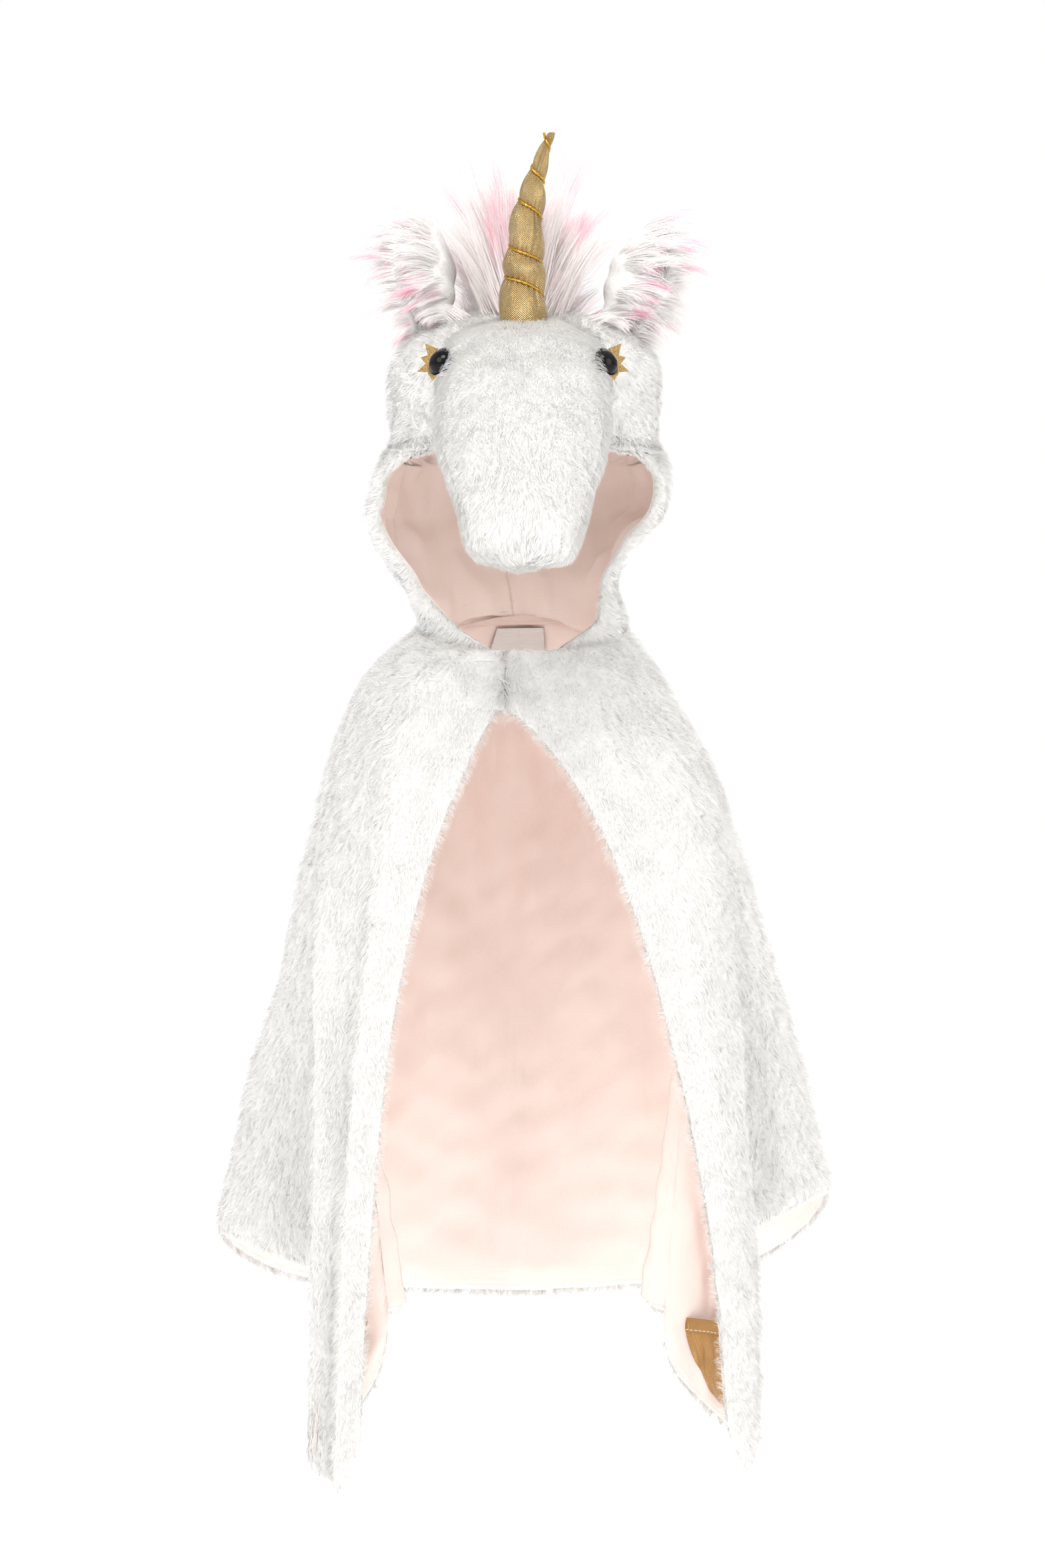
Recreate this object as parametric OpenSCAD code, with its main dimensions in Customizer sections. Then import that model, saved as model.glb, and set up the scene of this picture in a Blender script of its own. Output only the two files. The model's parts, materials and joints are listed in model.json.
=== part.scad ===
// Plush unicorn hooded cape for a child, hanging as it does when it is worn.
// Millimetres. +Z is up, the front faces -Y, and the origin is the middle of the neck opening.

/* [Cape] */
// Half of the neck opening's width
neck_half_width = 75; // [72:1:78]
// Half of the neck opening's depth
neck_half_depth = 66; // [63:1:69]
// Depth below the neck at which the back ends
back_hem = 492; // [480:1:505]
// How far the front leg hangs below the back, on the wearer's left
left_leg = 108; // [100:1:125]
// How far the front leg hangs below the back, on the wearer's right
right_leg = 122; // [110:1:135]
// Thickness of the plush with its pile
plush = 7; // [5:0.5:8]
// Thickness of the satin lining
satin = 1; // [0.8:0.1:1.2]

/* [Face] */
// Diameter of the moulded eyes
eye_diameter = 20; // [16:1:22]
// Thickness of the gold lash cloth
lash_thickness = 0.8; // [0.5:0.1:1]
// How far the muzzle reaches in front of the neck
muzzle_reach = 205; // [195:1:212]

/* [Horn] */
// Height of the horn
horn_height = 128; // [115:1:138]
// Radius of the horn at its base
horn_radius = 17; // [14:0.5:18]
// Turns of gold cord round the horn
cord_turns = 5; // [4:1:6]
// Diameter of the cord
cord_diameter = 2; // [1.5:0.1:2.5]

/* [Ears and mane] */
// Radius of each ear's cup at its widest
ear_radius = 20; // [16:1:22]
// Height of the mane above the crown
mane_height = 88; // [70:1:95]

/* [Hidden] */
white = "ivory";
blush = "mistyrose";
gold = "goldenrod";
LEFT = 1;                  // the wearer's left is +X
RIGHT = -1;
gap = 0.5;                 // between two layers
cover = [-plush, 0];       // offsets of the plush from a surface
inside = [-plush - gap - satin, -plush - gap];

// ---------- curves, sheets and skins ----------

function mix(a, b, t) = a * (1 - t) + b * t;
function ease(t) = let (c = max(0, min(1, t))) c * c * (3 - 2 * c);
function unit(v) = v / norm(v);
function soft_min(a, b) = -6 * ln(exp(-a / 6) + exp(-b / 6));
function power(x, n) = sign(x) * pow(abs(x), n);

// A smooth curve through the points p, at the share t of its way
function through(p, t) =
    let (n = len(p) - 1, x = max(0, min(n - 1e-6, t * n)), i = floor(x), f = x - i,
         b = p[i], c = p[i + 1],
         a = i > 0 ? p[i - 1] : 2 * b - c,
         d = i < n - 1 ? p[i + 2] : 2 * c - b)
    0.5 * (2 * b + (c - a) * f + (2 * a - 5 * b + 4 * c - d) * f * f + (3 * b - a - 3 * c + d) * f * f * f);

function normal_at(f, u, v) =
    let (e = 0.004, u0 = max(0, u - e), u1 = min(1, u + e), v0 = max(0, v - e), v1 = min(1, v + e))
    unit(cross(f(u1, v) - f(u0, v), f(u, v1) - f(u, v0)));
function offset_at(f, u, v, by) = f(u, v) + by * normal_at(f, u, v);

// Two layers of points over f(u, v), for the outer and the inner face of a cloth
function layers(f, cols, rows, offsets) =
    [for (by = [offsets[1], offsets[0]], j = [0:rows], i = [0:cols]) offset_at(f, i / cols, j / rows, by)];
function outer_faces(n, cols, rows) =
    [for (j = [0:rows - 1], i = [0:cols - 1]) let (q = j * n + i, r = j * n + (i + 1) % n)
     each [[q, r + n, r], [q, q + n, r + n]]];
function inner_faces(m, n, cols, rows) = [for (t = outer_faces(n, cols, rows)) [m + t[0], m + t[2], m + t[1]]];

// An open cloth over f(u, v), between two offsets along its normal
module sheet(f, cols, rows, offsets) {
    n = cols + 1;
    m = n * (rows + 1);
    edge = [for (i = [0:cols - 1]) [i, i + 1],
            for (j = [0:rows - 1]) [j * n + cols, (j + 1) * n + cols],
            for (i = [cols:-1:1]) [rows * n + i, rows * n + i - 1],
            for (j = [rows:-1:1]) [j * n, (j - 1) * n]];
    polyhedron(points = layers(f, cols, rows, offsets),
               faces = [each outer_faces(n, cols, rows), each inner_faces(m, n, cols, rows),
                        for (s = edge) each [[s[0], s[1], m + s[1]], [s[0], m + s[1], m + s[0]]]]);
}

// A closed skin over rings of points that narrow to one point at each end
module skin(first, rings, last) {
    n = len(rings[0]);
    m = len(rings);
    end = n * m;
    polyhedron(points = [for (r = rings) each r, last, first],
               faces = [each outer_faces(n, n, m - 1),
                        for (i = [0:n - 1]) let (k = (i + 1) % n, e = end - n)
                            each [[end + 1, i, k], [end, e + k, e + i]]]);
}

// A cup: an outer and an inner skin, joined round the mouth at their first rings
module cup(outer, outer_tip, inner, inner_tip) {
    n = len(outer[0]);
    end = n * len(outer);
    m = end + 1;
    back = m + n * len(inner);
    polyhedron(points = [for (r = outer) each r, outer_tip, for (r = inner) each r, inner_tip],
               faces = [each outer_faces(n, n, len(outer) - 1), each inner_faces(m, n, n, len(inner) - 1),
                        for (i = [0:n - 1]) let (k = (i + 1) % n)
                            each [[end, end - n + k, end - n + i], [back, back - n + i, back - n + k],
                                  [i, k, m + k], [i, m + k, m + i]]]);
}

// Rings around f(u, v), whose u runs once round, from the row v0 to the row v1
function rings_of(f, cols, rows, v0, v1, by) =
    [for (j = [0:rows]) let (v = mix(v0, v1, j / rows)) [for (i = [0:cols - 1]) offset_at(f, i / cols, v, by)]];
function middle(ring) = [for (k = [0:2]) let (s = [for (p = ring) p[k]]) s * [for (x = s) 1] / len(s)];

// Stands its children at p, with their Z along n and their Y as near up as it goes
module stand(p, n) {
    x = unit(cross([0, 0, 1], n));
    y = cross(n, x);
    multmatrix([[x[0], y[0], n[0], p[0]], [x[1], y[1], n[1], p[1]], [x[2], y[2], n[2], p[2]]]) children();
}

// ---------- the cape's cloth ----------

function side_reach(side, d) =
    let (c = max(0, d), s = 1 - exp(-c / 60)) side == LEFT ? 86 + 0.27 * c + 34 * s : 86 + 0.222 * c + 44 * s;
function chest_reach(d) = neck_half_depth + 40 * (1 - exp(-max(0, d - 12) / 60));
function back_reach(d) = neck_half_depth + 40 * (1 - exp(-(d + 24) / 50)) + 0.085 * (d + 24);

// How far to the side each front edge hangs: they meet right of the middle and part below the closure
closure_end = 57;
function front_edge(side, d) =
    let (c = max(0, d - closure_end))
    side == LEFT ? -7.5 + 179 * (1 - exp(-pow(c / 230, 0.85))) : 13.5 + 109 * (1 - exp(-pow(c / 170, 0.9)));

// The valley behind each front panel
valley_top = [150, -4];
valley_low = [103, -45];
function valley(d) = mix(valley_top, valley_low, (d - 100) / 390);

// Outline of half a level slice, from the front edge round to the middle of the back
function slice(side, d) =
    let (fold = ease((d - 60) / 220),
         w = side_reach(side, d),
         edge = [front_edge(side, d), -chest_reach(d) + 6 * fold],
         crest = [soft_min(0.96 * w, side == LEFT ? soft_min(146 + 0.08 * (d - 110), 166) : 146 + 0.022 * (d - 110)),
                  -mix(0.42 * chest_reach(d), side == LEFT ? 64 : 82, fold)],
         along = crest - edge,
         out = unit([along[1], -along[0]]),
         brow = mix(edge, crest, 0.35) + mix(21, 9, fold) * out,
         notch = mix(edge, crest, side == LEFT ? 0.7 : 0.6) + mix(20, side == LEFT ? 9 : 1, fold) * out,
         v = [soft_min(w, valley(d)[0]), min(valley_top[1], valley(d)[1])],
         low_a = v + [2 * fold, -9],
         low_b = v + [2 * fold, 9],
         pleat = mix(crest, low_a, 0.5) + fold * [3, 7],
         hip = [mix(0.985, 1, fold) * w, mix(34, 40, fold)],
         blade = [0.74 * w, 0.76 * back_reach(d)],
         spine = [0, back_reach(d)])
    [edge, brow, notch, crest, pleat, low_a, low_b, hip, blade, spine, [-blade[0], blade[1]]];
valley_u = 5.5 / 9;        // where the valley lies along a slice
leg_u = 0.56;              // where the leg ends
hip_u = 7 / 9;

// Degrees round the neck of each point of a slice
function neck_turn(side) = [side == LEFT ? -8 : 9.6, 22, 38, 56, 70, 82, 88, 100, 140, 180, 220];
function turn_at(side, t) = through(neck_turn(side), 0.9 * t);
function neck_height(a) = 6 - 18 * cos(a);
function neck_point(side, a) = [side * neck_half_width * sin(a), -neck_half_depth * cos(a), neck_height(a)];
function top_at(side, t) = -neck_height(turn_at(side, t));

// Depth of the hem: a long leg in front, a short side and a longer back
function side_hem(side) = back_hem - (side == LEFT ? 82 : 52);
function hem_at(side, t) =
    t < leg_u
    ? back_hem + (side == LEFT ? left_leg : right_leg) * sqrt(1 - pow(t / leg_u, 2.2))
      - 34 * pow(max(0, 1 - t / 0.12), 2)
    : back_hem - (back_hem - side_hem(side)) * exp(-pow((t - hip_u) / (side == LEFT ? 0.1 : 0.085), 2)) + 8 * ease((t - 0.86) / 0.14);

// The shoulders sit a little towards the wearer's right, and so does the hood's lower part
function cape_sway(d) = -6 * exp(-pow((d - 30) / 45, 2));
function hood_sway(z) = -13 * exp(-pow((z - 52) / 38, 2)) * ease((z + 5) / 30);
// A point of the cape's outer face, at the share t of a slice and the depth d
function cape_at(side, t, d) =
    let (p = through(slice(side, d), 0.9 * t), s = min(1, (d - top_at(side, t)) / 42))
    mix(neck_point(side, turn_at(side, t)), [side * p[0] + cape_sway(d), p[1], -d], 1 - (1 - s) * (1 - s));

// The front panels run from their edge to the valley, and u runs so that the normal points out
seam = 0.018;              // half of the gap at the valley, as a share of a slice
split_depth = 232;
function front_t(side, u) = mix(0, valley_u - seam, side == LEFT ? 1 - u : u);
function upper_cloth(side) = function (u, v)
    let (t = front_t(side, u)) cape_at(side, t, mix(top_at(side, t), split_depth, v));
function lower_cloth(side) = function (u, v)
    let (t = front_t(side, u)) cape_at(side, t, mix(split_depth + 4, hem_at(side, t), v));
// The back runs from the wearer's right valley, round the spine, to the left one
function back_t(u) = mix(valley_u + seam, 1, u < 0.5 ? 2 * u : 2 - 2 * u);
function back_cloth() = function (u, v)
    let (side = u < 0.5 ? RIGHT : LEFT, t = back_t(u)) cape_at(side, t, mix(top_at(side, t), hem_at(side, t), v));
// A band that hangs inside the neck seam, from the share t0 of each slice round the back
function neck_band(t0, d0, d1) = function (u, v)
    let (side = u < 0.5 ? RIGHT : LEFT, t = mix(t0, 1, u < 0.5 ? 2 * u : 2 - 2 * u))
    cape_at(side, t, top_at(side, t) + mix(d0, d1, v));

module back_panel() { color(white) sheet(back_cloth(), 26, 11, cover); }
module back_lining() { color(blush) sheet(back_cloth(), 26, 11, inside); }
module front_upper(side, offsets) { sheet(upper_cloth(side), 9, 7, offsets); }
module front_lower(side, offsets) { sheet(lower_cloth(side), 12, 12, offsets); }
module neck_tape() { color(white) sheet(neck_band(0.32, 2, 14), 30, 1, [-plush - 5.6, -plush - 4.6]); }
module care_label() { color(white) sheet(neck_band(0.965, 17, 52), 2, 2, [-plush - 5, -plush - 4.4]); }

// ---------- closure at the throat ----------

flap_hinge = -41;          // how far to the side the flap's hinge runs
flap_top = 20;             // depth of the flap's top
flap_slot = 3.5;           // cloth left out round the flap, so that it swings clear
module flap_zone(grow) { translate([flap_hinge - grow, -150, -closure_end - grow])
    cube([60, 120, closure_end - flap_top + 2 * grow]); }
module closure_flap() { color(white) intersection() {
    front_upper(RIGHT, cover);
    flap_zone(0); } }
module left_front_upper() { color(white) front_upper(LEFT, cover); }
module right_front_upper() { color(white) difference() {
    front_upper(RIGHT, cover);
    flap_zone(flap_slot); } }
module left_upper_lining() { color(blush) front_upper(LEFT, inside); }
module right_upper_lining() { color(blush) difference() {
    front_upper(RIGHT, inside);
    flap_zone(flap_slot); } }
// Cloth across the throat, from the share t of the left front's slice to the share s of the right one's
function throat_cloth(t, s, d0, d1) = function (u, v)
    let (d = mix(d0, d1, v)) mix(cape_at(LEFT, t, d), cape_at(RIGHT, s, d), u);
module throat_tape(offsets) {
    cloth = function (u, v) cape_at(RIGHT, mix(0.01, 0.045, u), mix(26, 52, v));
    sheet(cloth, 2, 2, offsets);
}
module closure_hook_tape() { color(white) throat_tape([-plush - 2.4, -plush - 1.4]); }
module closure_loop_tape() { color(white) throat_tape([-plush - 4.4, -plush - 3.4]); }
module closure_underlap() { color(blush) sheet(throat_cloth(0.03, 0.05, 23, 54), 4, 3,
                                               [-plush - 7.6, -plush - 6]); }

// ---------- front legs and their hoof pockets ----------

module left_front_lower() { color(white) front_lower(LEFT, cover); }
module right_front_lower() { color(white) front_lower(RIGHT, cover); }
module left_lower_lining() { color(blush) front_lower(LEFT, inside); }
module right_lower_lining() { color(blush) front_lower(RIGHT, inside); }

pocket_top = back_hem + 3;
pocket_in = plush + satin + 2.5;       // from the outer face of the leg to the pocket
function leg_tip(side) = back_hem + (side == LEFT ? left_leg : right_leg);
// Where the leg ends at the depth d, as a share of a slice
function leg_back(side, d) =
    let (s = (d - back_hem) / (side == LEFT ? left_leg : right_leg)) leg_u * pow(max(0, 1 - s * s), 1 / 2.2);
function leg_inside(side, t, d) =
    let (e = 0.01, q = cape_at(side, t, d),
         along = cape_at(side, t + e, d) - cape_at(side, max(0, t - e), d),
         n = unit([along[1], -along[0], 0]) * side)
    q - pocket_in * n;
function pocket_cloth(side, d0, d1) = function (u, v)
    let (d = mix(d0, d1, v), w = side == LEFT ? 1 - u : u,
         a = leg_inside(side, 0.035, d),
         b = leg_inside(side, max(0.07, leg_back(side, d) - 0.03), d))
    mix(a, b, w);
module hoof_pocket(side) { color(gold) sheet(pocket_cloth(side, pocket_top, leg_tip(side) - 24), 5, 6,
                                             [-satin, 0]); }
module pocket_hem(side) { color(gold) sheet(pocket_cloth(side, pocket_top, pocket_top + 9), 5, 1,
                                            [-2 * satin - 0.3, -satin - 0.3]); }
module left_hoof_pocket() { hoof_pocket(LEFT); }
module right_hoof_pocket() { hoof_pocket(RIGHT); }
module left_pocket_hem() { pocket_hem(LEFT); }
module right_pocket_hem() { pocket_hem(RIGHT); }

// ---------- hood ----------

crown = 238;
// Height against half width, reach in front and reach behind
head_width = [[-12, 75], [6, 76], [34, 80], [62, 96], [90, 112], [110, 110], [130, 103], [144, 99],
              [170, 101], [190, 100], [205, 95], [218, 83], [228, 64], [234, 43], [237, 22], [238, 3]];
head_front = [[-12, 66], [34, 68], [90, 76], [130, 88], [150, 95], [170, 98], [190, 95], [205, 88],
              [218, 74], [228, 55], [234, 37], [237, 20], [238, 3]];
head_back = [[20, 67], [34, 76], [62, 94], [90, 104], [120, 109], [150, 110], [175, 106], [195, 96],
             [210, 83], [222, 66], [230, 49], [235, 32], [237, 20], [238, 3]];
// Height against the turn at which the face opening's edge lies
face_edge = [[0, 22], [17, 53], [34, 62], [62, 67], [90, 69], [114, 70], [125, 62], [132, 46], [138, 0.2],
             [238, 0.2]];
levels = [0, 17, 34, 50, 66, 82, 98, 114, 125, 132, 138, 152, 168, 184, 199, 212, 223, 231, 235.5, 238];

function hood_at(side, a, z) =
    [side * lookup(z, head_width) * sin(a) + hood_sway(z), -lookup(z, a < 90 ? head_front : head_back) * cos(a), z];
function hood_cloth(side) = function (u, v)
    let (k = v * (len(levels) - 1), i = min(floor(k), len(levels) - 2),
         h = mix(levels[i], levels[i + 1], k - i),
         a = mix(lookup(h, face_edge), 179.8, side == LEFT ? u : 1 - u),
         z = h < 60 ? h + (neck_height(a) + 4) * (1 - h / 60) : h)
    hood_at(side, a, z);
module hood_half(side, offsets) { sheet(hood_cloth(side), 13, len(levels) - 1, offsets); }
module hood_left() { color(white) hood_half(LEFT, cover); }
module hood_right() { color(white) hood_half(RIGHT, cover); }
module hood_lining_left() { color(blush) hood_half(LEFT, inside); }
module hood_lining_right() { color(blush) hood_half(RIGHT, inside); }

// The mane stands along the crown, from behind the horn to the back of the head
mane_path = [[-46, 239], [-20, 243], [12, 243], [42, 238], [70, 224], [94, 198], [108, 168], [114, 136]];
mane_rise = [66, 84, 92, 92, 84, 70, 54, 36];
function mane_cloth() = function (u, v)
    let (p = through(mane_path, u),
         q = through(mane_path, min(1, u + 0.01)) - through(mane_path, max(0, u - 0.01)),
         n = unit([-q[1], q[0]]),
         h = v * through(mane_rise, u) * mane_height / 92)
    [0, p[0] + h * n[0], p[1] + h * n[1]];
module mane() { color("pink") sheet(mane_cloth(), 10, 3, [-19, 19]); }

// ---------- muzzle and eyes ----------

// Rings from the forehead to the nose: reach in front, height, half width, half height and tilt
muzzle_rings = [[70, 186, 66, 42, 0], [95, 177, 62, 43, 17], [120, 160, 62, 44, 32], [146, 136, 62, 42, 42],
                [168, 110, 57, 38, 48], [184, 84, 49, 34, 52], [198, 58, 42, 31, 58], [203, 46, 32, 22, 62],
                [205, 41, 6, 4, 62]];
function hood_front(x, z) =
    let (w = lookup(z, head_width)) -lookup(z, head_front) * sqrt(max(0.02, 1 - x * x / w / w));
function muzzle_cloth() = function (u, v)
    let (r = through(muzzle_rings, v), a = 360 * u,
         x = r[2] * power(cos(a), 0.84), h = r[3] * power(sin(a), 0.84),
         y = -r[0] * muzzle_reach / 205 - h * sin(r[4]), z = r[1] + h * cos(r[4]),
         rest = 1 - ease(v / 0.2))
    [x, mix(y, min(y, hood_front(x, z) - 7.5), rest), z];
muzzle_skin = 5;
module muzzle_cover() { color(white) difference() {
    outer = rings_of(muzzle_cloth(), 24, 14, 0, 0.985, 0);
    inner = rings_of(muzzle_cloth(), 24, 13, 0, 0.955, -muzzle_skin);
    cup(outer, middle(outer[14]) - [0, 3, 2], inner, middle(inner[13]));
    for (side = [LEFT, RIGHT]) at_eye(side) eye_seat(); } }
module muzzle_filling() {
    rings = rings_of(muzzle_cloth(), 24, 12, 0.02, 0.95, -muzzle_skin - gap);
    skin(middle(rings[0]), rings, middle(rings[12]));
}
// The head inside the hood's outer face, from the brow up, grown a little all round
function head_ring(z, by) =
    [for (i = [0:35]) let (a = 10 * i, side = a <= 180 ? LEFT : RIGHT,
         r = hood_at(side, a <= 180 ? a : 360 - a, z))
     r + by * unit([r[0], r[1], 0])];
module head_core(by) {
    heights = [100, 118, 132, 144, 156, 170, 184, 198, 210, 220, 229, 235];
    skin([0, 0, 99], [for (z = heights) head_ring(z, by)], [0, 0, 235 + by]);
}
module muzzle_stuffing() { color("whitesmoke") difference() {
    muzzle_filling();
    head_core(1.5);
    for (side = [LEFT, RIGHT]) at_eye(side) translate([0, 0, -30]) cylinder(d = 22, h = 40, $fn = 48); } }

eye_turn = 0.062;
eye_way = 0.19;
eye_rise = 1.5;            // how far the eye's middle stands off the cover
eye_forward = 0.42;        // how far the eyes look forward, against straight out of the cover
module at_eye(side) {
    u = side == LEFT ? eye_turn : 0.5 - eye_turn;
    look = unit(normal_at(muzzle_cloth(), u, eye_way) - [0, eye_forward, 0]);
    stand(offset_at(muzzle_cloth(), u, eye_way, eye_rise), look) children();
}
shank = 2.6;
seat = 3;                  // depth at which the eye's rim sits in the pile
module eye_seat() {
    translate([0, 0, -seat]) cylinder(d = eye_diameter + 1, h = 30, $fn = 64);
    translate([0, 0, -30]) cylinder(r = shank + 0.2, h = 60, $fn = 48);
}
module eye(side) { color("black") at_eye(side) {
    translate([0, 0, -seat + 0.2]) rotate_extrude($fn = 64) {
        r = eye_diameter / 2;
        square([r, 2]);
        intersection() {
            translate([0, 2 - 3]) circle(r = 10.4, $fn = 64);
            translate([0, 2]) square([r, 9]);
        }
    }
    translate([0, 0, -seat - 12]) cylinder(r = shank, h = 13, $fn = 48);
} }
module eye_washer(side) { color("white") at_eye(side) translate([0, 0, -seat - 10]) difference() {
    cylinder(r = 8, h = 1.6, $fn = 64);
    translate([0, 0, -1]) cylinder(r = shank + 0.05, h = 4, $fn = 48);
} }
// Three spikes reach out from the eye's outer side, with a short one below, and a narrow band joins them
module lashes(side) {
    reach = eye_diameter / 2 + 0.6;
    band = 1.5;
    spikes = [[34, 29, 11], [12, 25, 10], [-13, 24, 10], [-84, 14, 10]];
    color(gold) at_eye(side) translate([0, 0, 0.4]) linear_extrude(lash_thickness)
        mirror([side == LEFT ? 0 : 1, 0]) difference() {
            union() {
                intersection() {
                    circle(r = reach + band, $fn = 64);
                    for (turn = [-96, -44]) rotate(turn) square(2 * reach);
                }
                for (s = spikes) rotate(s[0]) polygon([[reach, -s[2] / 2], [s[1], 0], [reach, s[2] / 2]]);
            }
            circle(r = reach, $fn = 64);
        }
}
module left_eye() { eye(LEFT); }
module right_eye() { eye(RIGHT); }
module left_eye_washer() { eye_washer(LEFT); }
module right_eye_washer() { eye_washer(RIGHT); }
module left_lashes() { lashes(LEFT); }
module right_lashes() { lashes(RIGHT); }

// ---------- horn ----------

horn_base = [0, -84, 234];
horn_profile = [17, 15.6, 14.2, 12.4, 10.8, 9.4, 6.4, 4, 2.2] / 17;
function horn_axis(t) = horn_base + [20 * pow(max(0, t), 2.6), -16 * t, (horn_height - 12) * t];
function horn_cloth() = function (u, v)
    let (r = horn_radius * through(horn_profile, v)) horn_axis(v) + r * [cos(360 * u), sin(360 * u), 0];
horn_skin = 1.2;
module horn_cover() {
    outer = rings_of(horn_cloth(), 16, 11, 0, 1, 0);
    inner = rings_of(horn_cloth(), 16, 10, 0, 0.94, -horn_skin);
    color(gold) cup(outer, middle(outer[11]) + [0, 0, 2], inner, middle(inner[10]));
}
module horn_stuffing() {
    rings = rings_of(horn_cloth(), 16, 10, 0, 0.93, -horn_skin - 0.3);
    color("whitesmoke") skin(horn_base - [0, 0, 9], rings, middle(rings[10]));
}
// The cord winds down the front from the wearer's right to the left
module horn_cord() {
    steps = 16 * cord_turns;
    sides = 6;
    r = cord_diameter / 2;
    way = function (k) let (t = mix(0.97, 0.06, k), a = 360 * cord_turns * k + 90,
        out = [cos(a), sin(a), 0]) horn_axis(t) + (horn_radius * through(horn_profile, t) + r + 0.25) * out;
    rings = [for (i = [0:steps]) let (k = i / steps, p = way(k), d = unit(way(k + 0.002) - way(k - 0.002)),
             x = unit(cross(d, [0, 0, 1])), y = cross(d, x))
             [for (s = [0:sides - 1]) p + r * (cos(360 * s / sides) * x + sin(360 * s / sides) * y)]];
    color("orange") skin(middle(rings[0]) - unit(way(0.01) - way(0)) * 0.4, rings,
                         middle(rings[steps]) + unit(way(1) - way(0.99)) * 0.4);
}

// ---------- ears ----------

ear_shape = [12, 17, 20, 20, 17, 12, 3] / 20;
function ear_root(side) = side == LEFT ? [74, -22, 233] : [-68, -22, 236];
function ear_tip(side) = side == LEFT ? [103, -18, 298] : [-79, -16, 304];
function ear_cloth(side) = function (u, v)
    let (up = unit(ear_tip(side) - ear_root(side)),
         face = unit(cross(up, cross([side * 0.86, -0.5, 0], up))),
         across = cross(up, face),
         a = mix(-118, 118, u), r = ear_radius * through(ear_shape, v))
    mix(ear_root(side), ear_tip(side), v) + r * (-cos(a) * face + sin(a) * across);
module ear(side, offsets) { sheet(ear_cloth(side), 10, 7, offsets); }
module left_ear_back() { color(white) ear(LEFT, [-2, 2]); }
module left_ear_lining() { color("pink") ear(LEFT, [2.4, 5]); }
module right_ear_back() { color(white) ear(RIGHT, [-2, 2]); }
module right_ear_lining() { color("pink") ear(RIGHT, [2.4, 5]); }

back_panel();
back_lining();
neck_tape();
care_label();
left_front_upper();
right_front_upper();
left_upper_lining();
right_upper_lining();
left_front_lower();
right_front_lower();
left_lower_lining();
right_lower_lining();
left_hoof_pocket();
right_hoof_pocket();
left_pocket_hem();
right_pocket_hem();
closure_flap();
closure_hook_tape();
closure_loop_tape();
closure_underlap();
hood_left();
hood_right();
hood_lining_left();
hood_lining_right();
mane();
muzzle_cover();
muzzle_stuffing();
left_eye();
right_eye();
left_eye_washer();
right_eye_washer();
left_lashes();
right_lashes();
horn_cover();
horn_stuffing();
horn_cord();
left_ear_back();
left_ear_lining();
right_ear_back();
right_ear_lining();
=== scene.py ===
"""The looks of a plush unicorn hooded cape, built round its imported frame.

Lengths are in millimetres until a mesh is made. +Z is up and the front faces -Y, as in the frame.
"""

import json

import bpy
import numpy as np
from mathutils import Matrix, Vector


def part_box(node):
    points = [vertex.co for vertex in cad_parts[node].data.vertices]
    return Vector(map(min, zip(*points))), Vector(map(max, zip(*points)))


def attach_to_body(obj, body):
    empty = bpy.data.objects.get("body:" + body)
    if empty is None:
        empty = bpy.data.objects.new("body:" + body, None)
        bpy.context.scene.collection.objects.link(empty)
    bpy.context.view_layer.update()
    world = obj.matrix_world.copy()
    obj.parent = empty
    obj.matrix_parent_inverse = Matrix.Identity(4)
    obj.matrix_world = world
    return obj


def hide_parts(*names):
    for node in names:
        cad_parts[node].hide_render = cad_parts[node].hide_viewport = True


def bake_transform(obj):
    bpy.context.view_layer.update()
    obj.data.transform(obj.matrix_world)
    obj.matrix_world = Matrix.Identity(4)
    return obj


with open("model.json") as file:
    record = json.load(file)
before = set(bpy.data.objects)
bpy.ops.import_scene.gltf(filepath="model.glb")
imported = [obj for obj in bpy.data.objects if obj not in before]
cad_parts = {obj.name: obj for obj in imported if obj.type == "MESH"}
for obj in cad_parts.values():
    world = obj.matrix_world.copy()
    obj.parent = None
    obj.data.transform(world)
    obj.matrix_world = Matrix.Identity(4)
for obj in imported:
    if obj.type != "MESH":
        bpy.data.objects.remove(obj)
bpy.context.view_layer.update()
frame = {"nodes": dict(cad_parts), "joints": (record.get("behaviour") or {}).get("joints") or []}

MM = 0.001
LEFT, RIGHT = 1, -1        # the wearer's left is +X
SIDES = {"left": LEFT, "right": RIGHT}
DOWN = np.array([0.0, 0.0, -1.0])
JOINTS = {joint["name"]: joint for joint in frame["joints"]}


def joint_at(name):
    return np.array(JOINTS[name]["pos_m"]) / MM


# ---------- small tools ----------

def mix(a, b, t):
    return a * (1 - t) + b * t


def ease(t):
    c = np.clip(t, 0, 1)
    return c * c * (3 - 2 * c)


def unit(v):
    return v / np.maximum(np.linalg.norm(v, axis=-1, keepdims=True), 1e-9)


def soft_min(a, b):
    return -6 * np.log(np.exp(-a / 6) + np.exp(-b / 6))


def power(x, n):
    return np.sign(x) * np.abs(x) ** n


def pair(x, y):
    return np.stack(np.broadcast_arrays(x, y), -1)


def turned(degrees):
    """The sine and cosine of an angle in degrees."""
    return np.sin(np.radians(degrees)), np.cos(np.radians(degrees))


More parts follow.
